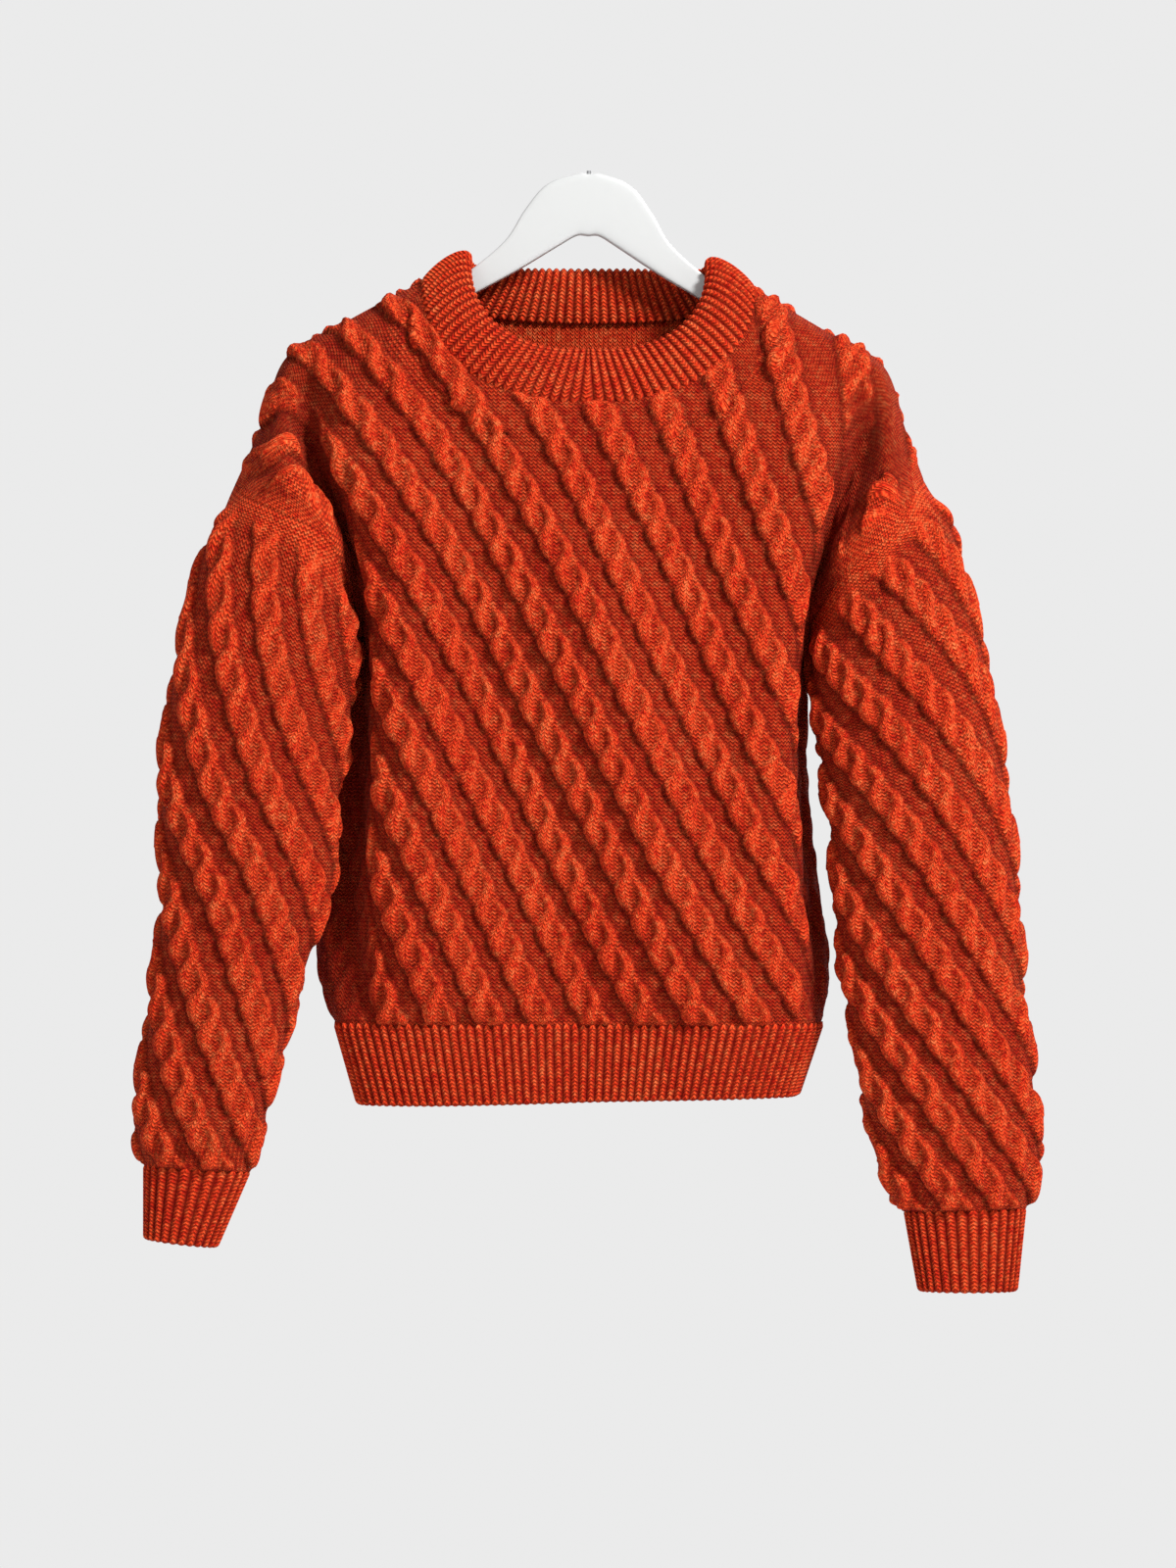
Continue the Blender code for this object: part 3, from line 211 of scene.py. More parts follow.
def make_mesh(name, points, faces, layers, maps):
    """An object from corners: corners in the same place share a point, maps stay with the corners, and
    layers with the points. Faces is a list of arrays of corner numbers."""
    keys = np.round(points / SAME_PLACE).astype(np.int64)
    _, first, shared = np.unique(keys, axis=0, return_index=True, return_inverse=True)
    shared = shared.reshape(-1)
    kept = []
    for block in faces:
        numbers = shared[block]
        whole = np.ones(len(block), bool)
        for k in range(block.shape[1]):
            whole &= numbers[:, k] != numbers[:, k - 1]
        kept.append(block[whole])
    mesh = bpy.data.meshes.new(name)
    polygons = [face for block in kept for face in shared[block].tolist()]
    mesh.from_pydata((points[first] * MM).tolist(), [], polygons)
    corners = np.concatenate([block.ravel() for block in kept])
    for layer_name, uv in maps.items():
        layer = mesh.uv_layers.new(name=layer_name)
        layer.data.foreach_set("uv", uv[corners].astype(np.float32).ravel())
    for layer_name, values in layers.items():
        layer = mesh.attributes.new(layer_name, "FLOAT", "POINT")
        layer.data.foreach_set("value", values[first].astype(np.float32))
    mesh.polygons.foreach_set("use_smooth", np.ones(len(mesh.polygons), bool))
    mesh.update()
    obj = bpy.data.objects.new(name, mesh)
    bpy.context.scene.collection.objects.link(obj)
    print(name, "triangles:", sum(len(block) * (block.shape[1] - 2) for block in kept))
    return obj


def wall(name, ground, normals, relief, thickness, wraps, outer, outward):
    """A closed wall over a ground grid. The outer face is the ground plus the relief along the normals,
    and the inner face is each third point less the thickness. outer holds the maps and layers of the
    outer face. outward is 1 where the quads of the grid already face out."""
    rows, columns = ground.shape[:2]
    outside = ground + normals * relief[..., None]
    inside = (ground - normals * thickness)[::3, ::3]
    fine = np.arange(rows * columns).reshape(rows, columns)
    coarse = fine.size + np.arange(inside[..., 0].size).reshape(inside.shape[:2])
    faces = [quads(fine), quads(coarse)[:, ::-1]]
    edges = [(fine[0, ::-1], coarse[0, ::-1]), (fine[-1], coarse[-1])]
    if not wraps:
        edges += [(fine[:, 0], coarse[:, 0]), (fine[::-1, -1], coarse[::-1, -1])]
    faces += [rim(a, b)[:, ::-1] for a, b in edges]
    if outward < 0:
        faces = [block[:, ::-1] for block in faces]
    points = np.concatenate([outside.reshape(-1, 3), inside.reshape(-1, 3)])
    stitches = outer["cloth"][::3, ::3].reshape(-1, 2)
    maps = {key: np.concatenate([outer[key].reshape(-1, 2), stitches]) for key in ("cloth", "strand")}
    # painted light for the colour: the inner face gets INNER_LIGHT, a painted shade
    layers = {
        key: np.concatenate([outer[key].ravel(), np.full(coarse.size, value)])
        for key, value in (("knit", 1.0), ("crest", INNER_LIGHT))
    }
    return make_mesh(name, points, faces, layers, maps)


flat = np.stack(np.meshgrid(np.arange(4.0), np.arange(4.0)) + [np.zeros((4, 4))], axis=-1)
print("normal of a flat grid:", grid_normals(flat)[1, 1])

# %% [markdown]
# ## The cable
# A cable is two bundles of stitches that a knitter crosses over each other every few rows. A bundle comes
# out from under the other one at the right, runs down beside it as a thin crescent, crosses over it and
# swells into a plump drop at the left, whose tip goes under the next one. So its life lasts two
# crossings, and at each height a young strand at the right and an old one at the left are seen side by
# side. The table was measured on one cable of the photograph.

# %% The height of a cable
CROSSING = 21.5  # one strand crosses the other each time this height has passed
STRAND = (
    # age in crossings, middle, half width, height
    (0.00, 6.4, 2.6, 1.2),
    (0.12, 7.6, 3.4, 4.0),
    (0.30, 8.2, 3.9, 5.4),
    (0.50, 7.8, 4.1, 6.0),
    (0.69, 6.2, 4.5, 6.4),
    (0.85, 3.5, 5.0, 6.6),
    (1.00, 0.3, 5.6, 6.9),
    (1.15, -2.5, 6.1, 7.0),
    (1.33, -4.9, 6.4, 6.8),
    (1.50, -6.3, 6.0, 6.2),
    (1.69, -7.7, 4.9, 5.2),
    (1.85, -8.9, 3.4, 3.8),
    (2.00, -9.8, 1.4, 1.2),
)
CABLE_HALF = 11.6  # half the width of a cable, level
CABLE_BED = 2.8  # height of the cloth under the strands
ROUNDNESS = 0.56  # 0.5 would make a strand's section an ellipse
STRAND_COLUMNS = 3  # stitches across a strand
STITCH_WIDTH = 3.4
STITCH_ROW = 2.7
STAGGER = 0.2  # each cable crosses this share of a lobe lower than its neighbour on the left
BED_ROUND = 0.7  # from this share of its half width the bed falls to the cloth beside the cable
GUTTER = (1.2, 2.0, 0.4)  # a groove beside the cable: distance from it, half width, depth
WANDER = ((0.5, 3.1, 47.0, 0.3), (0.4, 2.3, 31.0, 1.7))  # how a cable strays sideways
HURRY = (0.05, 61.0, 2.1)  # how early or late its crossings come: share, length, shift from cable to cable
FULLNESS = (0.06, 2.7, 1.9)  # and how lobes differ in size: share, shift for each cable and each lobe
CREASE_WIDTH = 0.8  # a crease shows where two strands are level within about this
SAMPLE_PITCH = 38.0


def cable(count, pitch, height):
    """Relief of the cables. count is whole at the middle of each cable, pitch is the level distance
    between two of them, height is measured up the cloth. A strand's section is height · (1 - (side / half
    width)²)^roundness, and the higher of two strands shows. Returns the height of the surface, how much
    of it is strand, how near it is to a crease, and the stitches on the strand as columns and rows."""
    index = np.round(count)
    offset = (count - index) * pitch + waves(index * 7.0, height, *WANDER)
    phase = STAGGER * index - height / CROSSING + HURRY[0] * np.sin(height / HURRY[1] + HURRY[2] * index)
    young = phase - np.floor(phase)
    fullness = 1 + FULLNESS[0] * np.sin(index * FULLNESS[1] + np.floor(phase) * FULLNESS[2])
    bed = CABLE_BED * (1 - smoothstep(BED_ROUND, 1.0, np.abs(offset) / CABLE_HALF))
    from_cable = np.abs(offset) - CABLE_HALF
    ground = bed - GUTTER[2] * np.exp(-(((from_cable - GUTTER[0]) / GUTTER[1]) ** 2))
    best, second = ground, ground
    columns = np.zeros(np.shape(phase))
    table = np.array(STRAND)
    for age in (young, young + 1):
        middle, half, top = np.moveaxis(spline(table[:, 0], table[:, 1:], age), -1, 0)
        side = (offset - middle) / (half * fullness)
        strand = top * fullness * np.maximum(1 - side**2, 0) ** ROUNDNESS
        higher = strand > best
        second = np.where(higher, best, np.maximum(second, strand))
        best = np.where(higher, strand, best)
        columns = np.where(higher, side * STRAND_COLUMNS / 2, columns)
    crease = np.exp(-(best - second) / CREASE_WIDTH) * (second > ground + 0.2)
    strand = smoothstep(0.1, 0.9, best - ground)
    return best, strand, crease, np.stack([columns + 0.5, height / STITCH_ROW], axis=-1)


sample = cable(np.linspace(-0.5, 0.5, 401), SAMPLE_PITCH, np.full(401, CROSSING / 2))[0]
print("highest point of a cable:", round(float(sample.max()), 2), "mm")

# %% [markdown]
# ## The shape of the body
# The body is two panels, joined at the sides and along the shoulders. Rows of points were measured at
# seven heights: in the middle the front lies flat and forward, then it turns back into a deep fold in
# front of each side seam, which the sleeves hide in part. Above the armpits the cloth hangs from the
# hanger and wraps over its ends, and the dropped shoulders stand in front of the folds.

# %% Rows of the body, in millimetres
EDGE, SIDE, FOLD, CREASE_EDGE, NECK, CORE = 1.0, 0.86, 0.72, 0.58, 0.42, 0.29

FRONT_LEFT = (
    # level        edge                side                fold                front edge of the fold
    ("hem", (-181, 8, -607), (-177, -14, -607), (-161, -26, -607), (-134, -34, -607)),
    ("low", (-192, 12, -575), (-188, -2, -575), (-167, -15, -575), (-140, -35, -575)),
    ("waist", (-191, 15, -505), (-186, 7, -505), (-166, -1, -505), (-148, -33, -505)),
    ("bust", (-181, 16, -421), (-176, 11, -421), (-160, 4, -421), (-147, -33, -421)),
    ("armpit", (-166, 8, -311), (-165, 4, -313), (-161, 0, -314), (-149, -32, -315)),
    ("yoke", (-185, -36, -262), (-181, -33, -256), (-173, -2, -256), (-160, -32, -256)),
    ("upper yoke", (-218, -41, -243), (-212, -38, -213), (-199, -5, -194), (-179, -29, -183)),
    ("shoulder", (-253, 0, -222), (-233, 0, -177), (-216, 0, -130.5), (-168, 0, -102)),
)
FRONT_RIGHT = (
    # level        edge               side               fold               front edge of the fold
    ("hem", (166, 8, -607), (162, -12, -607), (155, -24, -607), (137, -34, -607)),
    ("low", (171, 12, -575), (168, -6, -575), (158, -18, -575), (146, -36, -575)),
    ("waist", (163, 14, -505), (161, 3, -505), (154, -6, -505), (144, -37, -505)),
    ("bust", (156, 14, -421), (154, 7, -421), (148, -2, -421), (141, -36, -421)),
    ("armpit", (158, 8, -323), (157, 4, -322), (154, -2, -321), (146, -36, -320)),
    ("yoke", (182, -34, -285), (178, -32, -272), (169, -4, -264), (156, -36, -262)),
    ("upper yoke", (217, -38, -254), (207, -36, -228), (191, -6, -202), (172, -33, -188)),
    ("shoulder", (239, 0, -218), (226, 0, -182), (210, 0, -136.5), (166, 0, -110)),
)
FRONT_MIDDLE = (
    # level     core x  core y  core z  centre y  centre z
    ("hem", 72, -39, -607, -40, -607),
    ("low", 72, -42, -575, -43, -575),
    ("waist", 72, -43, -505, -45, -505),
    ("bust", 72, -42, -421, -44, -421),
    ("armpit", 73, -40, -316, -42, -317),
    ("yoke", 77, -37, -250, -39, -265),
    ("upper yoke", 84, -33, -184, -36, -213),
)
BACK_DEPTHS = (
    # level  edge  side  fold  fold's edge  core  centre
    ("hem", 8, 25, 32, 37, 40, 40),
    ("low", 12, 27, 36, 41, 44, 44),
    ("waist", 14, 28, 37, 43, 47, 47),
    ("bust", 14, 28, 36, 43, 46, 47),
    ("armpit", 8, 15, 24, 38, 43, 44),
    ("yoke", 34, 32, 26, 34, 38, 40),
    ("upper yoke", 36, 34, 24, 28, 31, 33),
)
LEVEL_HEIGHTS = np.array([0, 32, 102, 186, 291, 371, 451, 531], float)
ROLL_HEIGHT = 18.0
ARMPIT = LEVEL_HEIGHTS[4] / LEVEL_HEIGHTS[-1]

NECK_HALF = (116.0, 115.0)  # left and right of the centre
NECK_POINT_Z = (-75.0, -80.0)
FRONT_DROP = 85.0
BACK_DROP = 24.0
NECK_ROUND = 0.889
FRONT_NECK_Y = -32.0
BACK_NECK_Y = 27.0
NECK_BULGE = (3, 0.6)  # powers that make the oval full at the front and narrow at the sides
BAND_LEAN = 53.0
LEAN_POWERS = (0.6, 1.2)  # how early the band leans in, at the front and at the back

CABLE_COUNT = (
    # power of x, power of z, factor
    (0, 0, -0.5099),
    (0, 1, 1.3935),
    (0, 2, -0.0385),
    (0, 3, -0.0106),
    (1, 0, 2.7446),
    (1, 1, -0.1586),
    (1, 2, -0.0729),
    (2, 0, -0.0540),
    (2, 1, 0.0071),
    (3, 0, 0.0089),
)
COUNT_MIDDLE = -350.0  # z = 0 of the cubic
LEAST_SLOPE = 1.6  # cables are never counted more slowly than this over 100 mm


def cable_count(x, z):
    """Number of the cable at a place of the front, counted to the right: a cubic in x and z, in units of
    100 mm, that passes through the middles of the cables as they were traced down the photograph. Also
    the level distance between two cables, which is 1 / (slope along x)."""
    x, z = np.asarray(x, float) / 100, (np.asarray(z, float) - COUNT_MIDDLE) / 100
    count = sum(k * x**i * z**j for i, j, k in CABLE_COUNT)
    along_x = sum(k * i * x ** max(i - 1, 0) * z**j for i, j, k in CABLE_COUNT)
    return count, 100 / np.maximum(along_x, LEAST_SLOPE)


print("cables at the bust:", [round(float(cable_count(x, -421.0)[0]), 1) for x in (-140, 0, 130)])

# %% [markdown]
# ## The neckline
# The neck opening is a rounded box seen from the front and a flat oval seen from above. It belongs to
# both panels and to the neckband, so one function gives its points, the way up the band and the way out
# of it.

# %% The neckline as a function of an angle


def neck_ring(angle, front, side):
    """x grows as the sine and z falls as the cosine, both to a power just under 1, which squares the oval
    a little. The band leans in more and more from the centre (angle 0) to the shoulder (a quarter
    turn)."""
    angle = np.asarray(angle, float)
    half = np.where(side > 0, NECK_HALF[1], NECK_HALF[0])
    top = np.where(side > 0, NECK_POINT_Z[1], NECK_POINT_Z[0])
    drop = (FRONT_DROP if front else BACK_DROP) + (top - sum(NECK_POINT_Z) / 2)
    sine = np.clip(np.sin(angle), 0, 1)
    cosine = np.clip(np.cos(angle), 0, 1)
    x = side * half * sine**NECK_ROUND
    bulge = (1 - (1 - cosine) ** NECK_BULGE[0]) ** NECK_BULGE[1]
    y = (FRONT_NECK_Y if front else BACK_NECK_Y) * bulge
    point = np.stack([x, y, top - drop * cosine**NECK_ROUND], axis=-1)
    lean = np.radians(BAND_LEAN) * sine ** LEAN_POWERS[0 if front else 1]
    up = np.stack([-side * np.sin(lean), 0 * lean, np.cos(lean)], axis=-1)
    facing = (-1 if front else 1) * np.sqrt(cosine)
    outward = 1 - np.sqrt(cosine)
    normal = unit(np.stack([side * np.cos(lean) * outward, facing, np.sin(lean) * outward], axis=-1))
    up = unit(up - (up * normal).sum(-1, keepdims=True) * normal)
    return point, up, normal


print("front of the neckline:", neck_ring(0.0, True, 1.0)[0])

# %% [markdown]
# ## Soft folds
# Under its cables the cloth isn't flat. A long trough and a long ridge run down the front, and small
# creases start at the armpits, below the neck and above the hem. They could be sculpted by hand, but a
# table of places, turns and sizes can be checked against the photograph and changed row by row.

# %% The large soft folds of the panels
FRONT_FOLDS = (
    # x, z, turn in degrees, half length, half width, height
    (-44, -450, -74, 200, 38, -9.0),
    (48, -455, -74, 210, 36, 8.0),
    (-122, -430, -88, 150, 22, 2.5),
    (120, -520, -92, 110, 20, 2.0),
    (-112, -350, -42, 48, 13, -2.4),
    (103, -388, -118, 55, 14, -2.6),
    (24, -205, -70, 42, 20, 1.6),
    (-70, -250, -62, 70, 16, -1.6),
    (-96, -588, 4, 44, 11, 2.6),
    (-12, -590, -3, 40, 10, 2.0),
    (72, -587, 2, 48, 12, 3.2),
)
BACK_FOLDS = (
    # x, z, turn in degrees, half length, half width, height
    (20, -470, -95, 180, 40, -4.6),
    (-66, -500, -98, 170, 32, 4.2),
    (104, -450, -91, 130, 24, 2.6),
    (-118, -360, -60, 60, 14, -2.4),
    (96, -350, -128, 52, 15, -2.2),
    (0, -180, -88, 60, 24, 1.8),
    (-84, -588, 5, 40, 11, 2.8),
    (10, -589, -2, 46, 10, 2.2),
    (92, -587, 3, 42, 12, 2.6),
)
print("soft folds:", len(FRONT_FOLDS), "and", len(BACK_FOLDS))

# %% [markdown]
# ## A sheet that knows its lengths
# Cables and stitches must keep their size where the cloth bends, so a surface alone isn't enough: its
# lengths along the cloth are needed too. They could be added up again at each call. Here they are
# measured once on a grid and looked up there, for panels and sleeves alike.

# %% A surface with measured lengths


class Sheet:
    """A surface as a function of u, across it, and v, along it. What was measured on it is kept on a
    grid."""

    closed = False

    def look_up(self, grid, u, v):
        """A value between the points of the grid, from the four around it."""
        u, v = np.broadcast_arrays(np.asarray(u, float), np.asarray(v, float))
        column = (u + 1) / 2 * (len(self.grid_u) - 1)
        row = v * (len(self.grid_v) - 1)
        i = np.clip(row.astype(int), 0, len(self.grid_v) - 2)
        j = np.clip(column.astype(int), 0, len(self.grid_u) - 2)
        s, t = row - i, column - j
        low = grid[i, j] * (1 - t) + grid[i, j + 1] * t
        high = grid[i + 1, j] * (1 - t) + grid[i + 1, j + 1] * t
        return low * (1 - s) + high * s

    def across(self, u, v):
        """The length across the cloth, in millimetres."""
        return self.look_up(self.grid_a, u, v)


look_up_check = Sheet()
look_up_check.grid_u = look_up_check.grid_v = np.linspace(0, 1, 3)
print("look-up between 1 and 4:", look_up_check.look_up(np.arange(9.0).reshape(3, 3), 0.0, 0.25))

# %% [markdown]
# ## The panel's surface
# A panel is a function of two numbers: how far across from the left edge to the right one, and how far up
# from the hem to the shoulder. Flat strips with a smoothing modifier would pull the edges away from the
# seams, so each level is a spline through its measured points, and splines run up through the levels.
# Near the top the cloth bends over the neckline, the hanger and its tips, which takes a row of its own.

# %% The panel's surface
CALM_TOP = (0.82, 0.97)  # the soft folds end between these shares of the height
CALM_SIDE = (0.8, 0.97)  # and between these places towards the side seam
CHEST_ROLL = 2.0  # below the neckline the cloth comes forward by this much
SHOULDER_ROLL = (0.0, 13.0, -8.0)  # step out and down from the shoulder seam
TIP_ROLL = (-5.0, 15.0, -5.0)  # the same at the hanger's tip
CORNER_PLACES = (-2, -1, 0, 1, 2)  # whose mean rounds the corner under the neck point
CORNER_STEP = 0.035
CORNER_REACH = (0.1, 0.22)  # the rounding ends between these distances from the neck point, in u
TURN_WIDTH = 0.06  # over which the outer columns begin to turn at the armpit, and the plain sides begin


class Panel(Sheet):
    columns = np.array([-EDGE, -SIDE, -FOLD, -CREASE_EDGE, -CORE, 0, CORE, CREASE_EDGE, FOLD, SIDE, EDGE])
    rolled = 1 - ROLL_HEIGHT / LEVEL_HEIGHTS[-1]
    knots = np.concatenate([LEVEL_HEIGHTS[:7] / LEVEL_HEIGHTS[-1], [rolled, 1]])

    def __init__(self, front):
        self.front = front
        rows = []
        for left, right, middle, depths in zip(FRONT_LEFT, FRONT_RIGHT, FRONT_MIDDLE, BACK_DEPTHS):
            _, x, y, z, centre_y, centre_z = middle
            core = [(-x, y, z), (0, centre_y, centre_z), (x, y, z)]
            row = np.array([*left[1:], *core, *right[:0:-1]], float)
            if not front:
                row[:, 1] = [*depths[1:], *depths[-2:0:-1]]
            rows.append(row)
        self.rows = np.array(rows)
        self.grid_u = np.linspace(-1, 1, 241)
        self.grid_v = np.linspace(0, 1, 121)
        self.measure(self.surface(self.grid_u[None, :], self.grid_v[:, None]))

    def measure(self, points):
        """Three tables on a grid: the distance along each row from its middle; the place sideways in the
        picture, which goes on as level distance once a row turns into the folds; and the height in the
        picture, which above the armpit goes on as upright distance."""
        run = running_length(points)
        middle = len(self.grid_u) // 2
        self.grid_a = run - run[:, middle, None]
        level = running_length(points[..., :2])
        at = [int(np.argmin(np.abs(self.grid_u - place))) for place in (-CREASE_EDGE, CREASE_EDGE)]
        x = points[..., 0]
        aside = np.where(self.grid_u < 0, at[0], at[1])
        outside = np.abs(self.grid_u) > CREASE_EDGE
        self.grid_x = np.where(outside, x[:, aside] + level - level[:, aside], x)
        upright = running_length(points[..., 1:].swapaxes(0, 1)).T
        row = int(round(ARMPIT * (len(self.grid_v) - 1)))
        z = points[..., 2]
        above = z[row] + upright - upright[row]
        self.grid_h = np.where(np.arange(len(z))[:, None] > row, above, z)

    def top_row(self, u):
        """The neckline in the middle, then the shoulder seam to each side."""
        side = np.where(u < 0, -1.0, 1.0)
        points = neck_ring(np.minimum(np.abs(u) / NECK, 1) * math.pi / 2, self.front, side)[0]
        for table, sign in ((FRONT_LEFT, -1), (FRONT_RIGHT, 1)):
            corner = neck_ring(math.pi / 2, self.front, float(sign))[0]
            values = np.array([corner, *table[7][:0:-1]], float)
            shoulder = spline([NECK, CREASE_EDGE, FOLD, SIDE, EDGE], values, np.abs(u))
            points = np.where(((np.abs(u) > NECK) & (side == sign))[..., None], shoulder, points)
        return points

    def roll(self, u):
        """From the top row to a row a little below: down the chest in the middle, and over the hanger and
        its tip to the sides."""
        side = np.where(u < 0, -1.0, 1.0)
        out = -1.0 if self.front else 1.0
        ring, up, _ = neck_ring(np.minimum(np.abs(u) / NECK, 1) * math.pi / 2, self.front, side)
        straight = unit(spline(self.columns, self.rows[6], u) - ring)
        aside = smoothstep(0.0, 0.6, np.abs(u) / NECK)[..., None]
        chest = ROLL_HEIGHT * unit(straight * (1 - aside) - up * aside)
        chest = chest + np.array([0, CHEST_ROLL * out, 0])
        outer = smoothstep(FOLD - 0.1, FOLD + 0.1, np.abs(u))[..., None]
        turned = np.stack([side, np.full_like(u, out), np.ones_like(u)], axis=-1)
        shoulder = (np.array(SHOULDER_ROLL) * (1 - outer) + np.array(TIP_ROLL) * outer) * turned
        share = smoothstep(0.8 * NECK, 1.05 * NECK, np.abs(u))[..., None]
        return chest * (1 - share) + shoulder * share

    def below_top(self, u):
        """The row a little below the top. Under the neck point it turns a corner, which is rounded by the
        mean of five places beside each other."""
        near = 1 - smoothstep(*CORNER_REACH, np.abs(np.abs(u) - NECK))
        places = [np.clip(u + CORNER_STEP * k * near, -1, 1) for k in CORNER_PLACES]
        return sum(self.top_row(place) + self.roll(place) for place in places) / len(places)

    def surface(self, u, v):
        """Splines across the levels, then one spline up through them. At the armpit the outer columns
        turn a corner: there the slope below and the slope above are kept apart."""
        u, v = np.broadcast_arrays(np.asarray(u, float), np.asarray(v, float))
        shape = u.shape
        u, v = u.ravel(), v.ravel()
        top = self.top_row(u)
        stack = np.array([spline(self.columns, row, u) for row in self.rows] + [self.below_top(u), top])
        slope, tangent = slopes(self.knots, stack)
        corner = smoothstep(FOLD - TURN_WIDTH, SIDE, np.abs(u))[:, None]
        leaving, arriving = tangent.copy(), tangent.copy()
        leaving[4] += (slope[4] - tangent[4]) * corner
        arriving[4] += (slope[3] - tangent[4]) * corner
        k, step, t = between(self.knots, v, 1)
        i = np.arange(len(u))
        points = cubic(t, step, stack[k, i], leaving[k, i], stack[k + 1, i], arriving[k + 1, i])
        inner = (1 - smoothstep(*CALM_TOP, v)) * (1 - smoothstep(*CALM_SIDE, np.abs(u)))
        table = FRONT_FOLDS if self.front else BACK_FOLDS
        points[:, 1] += (-1 if self.front else 1) * inner * folds(table, points[:, 0], points[:, 2])
        return points.reshape(shape + (3,))

    def cables(self, u, v):
        """Number of the cable at a point, the distance between cables, and the height in the cloth."""
        x = self.look_up(self.grid_x, u, v) * (1 if self.front else -1)
        height = self.look_up(self.grid_h, u, v)
        return *cable_count(x, height), height


front_panel = Panel(True)
back_panel = Panel(False)
print("front across the bust:", np.round(front_panel.across(np.array([-1.0, 1.0]), 0.35)), "mm")

# %% [markdown]
# ## Front and back
# The points of a row are spread evenly along the cloth, not along x, so the deep folds get as many as the
# flat chest. The cables die away within a few millimetres of a seam, where the next piece holds the cloth
# down.

# %% Knit the panels
WALL = 4.0
SEAM_FADE = 6.0  # from the seams the cables rise over this distance
PLAIN_SIDE = (6.0, 26.0)  # above the armpit the cables rise between these distances from the armhole
FOLD_RELIEF = 0.35  # the share of the cables' height that is left deep in a side fold
CLOTH_LIGHT = 0.22  # painted light on the cloth between the cables
CAP_LIGHT = 0.36  # painted light that the plain cloth round the armholes, which stands in the open, gets besides
HEIGHT_LIGHT = 0.085  # more painted light for each millimetre of relief
PIT_LIGHT = 0.13  # and more painted light for each millimetre above the surroundings, less in pits
# painted shade in the creases where two strands meet
CREASE_SHADE = 0.34
RECESS = (1.5, 14.0, 0.95)  # depths where painted shade in the side folds begins and is darkest, and how dark it is


def even_grid(sheet, heights, count):
    """u and v of a grid whose columns stand at even distances along the cloth in each row, and its
    points."""
    u = np.empty((len(heights), count))
    for row, v in enumerate(heights):
        run = sheet.across(sheet.grid_u, v)
        u[row] = np.interp(np.linspace(run[0], run[-1], count), run, sheet.grid_u)
    v = np.repeat(heights[:, None], count, axis=1)
    return u, v, sheet.surface(u, v)


def light_reaching(height, crease):
    """Painted light for the wool's colour, from 0 to 1, standing in for how much light gets to it: most on
    the backs of the strands, less on the cloth between them, least in the pits, where the cloth is lower
    than its surroundings, and painted shade in the creases."""
    pit = height - softened(height, 2)
    light = CLOTH_LIGHT + PIT_LIGHT * pit + HEIGHT_LIGHT * height - CREASE_SHADE * crease
    return np.clip(light, 0, 1)


def recess(panel, ground, u):
    """Painted shade for the side folds, which also lowers the cables there: 1 in the open and nearly 0
    deep in the folds at the sides, by the depth behind the fold's front edge."""
    row = np.arange(len(u))
    edges = [np.argmin(np.abs(u - place), axis=1) for place in (-CREASE_EDGE, CREASE_EDGE)]
    left, right = (ground[row, edge, 1][:, None] for edge in edges)
    depth = (ground[..., 1] - np.where(u < 0, left, right)) * (1 if panel.front else -1)
    return 1 - RECESS[2] * smoothstep(RECESS[0], RECESS[1], depth) * (np.abs(u) > CREASE_EDGE)


def knit(name, sheet, u, v, ground, cables, fade, cap, shelter, outward):
    """The wall with its cables, maps and painted light. cables holds their number, pitch and height, fade
    is 0 where they are flat, cap is 0 where the cloth is plain and open and gets more painted light, and
    shelter is 0 deep in a fold, where painted shade darkens the colour."""
    height, strand, crease, stitches = cable(*cables)
    normals = grid_normals(ground, across_wraps=sheet.closed) * outward
    outer = {
        "cloth": np.stack([sheet.across(u, v) / STITCH_WIDTH, cables[2] / STITCH_ROW], axis=-1),
        "strand": stitches,
        "knit": strand * fade,
        # painted light and shade for the colour: painted light on the strands and the open caps, painted
        # shade in pits, creases and deep folds
        "crest": (light_reaching(height * fade, crease * fade) + CAP_LIGHT * (1 - cap)) * shelter,
    }
    return wall(name, ground, normals, height * fade, WALL, sheet.closed, outer, outward)


def knit_panel(name, panel, low_rows, high_rows, columns):
    """Rows below and above the armpit, both multiples of three, and columns, one more than such a
    multiple."""
    low = np.linspace(0, ARMPIT, low_rows + 1)
    heights = np.concatenate([low, np.linspace(ARMPIT, 1, high_rows + 1)[1:]])
    u, v, ground = even_grid(panel, heights, columns)
    a = panel.across(u, v)
    from_side = np.minimum(a - a[:, :1], a[:, -1:] - a)
    from_top = np.linalg.norm(ground - ground[-1:], axis=2)
    from_seam = np.minimum(np.minimum(from_side, from_top), v * LEVEL_HEIGHTS[-1])
    cap = 1 - (1 - smoothstep(*PLAIN_SIDE, from_side)) * smoothstep(ARMPIT, ARMPIT + TURN_WIDTH, v)
    # painted shade deep in the side folds, which also lowers the cables there
    shelter = recess(panel, ground, u)
    fade = smoothstep(0, SEAM_FADE, from_seam) * cap * (FOLD_RELIEF + (1 - FOLD_RELIEF) * shelter)
    outward = 1 if panel.front else -1
    return knit(name, panel, u, v, ground, panel.cables(u, v), fade, cap, shelter, outward)


front = knit_panel("front_knit", front_panel, 171, 144, 271)
back = knit_panel("back_knit", back_panel, 153, 129, 241)

# %% [markdown]
# ## Sleeves
# A sleeve is a flattened tube that hangs from the dropped shoulder. Its rings are ellipses whose ends
# were measured down the photograph. The first ring is the armhole itself, taken from the edges of the two
# panels, and the tube eases from that ring into its own shape.

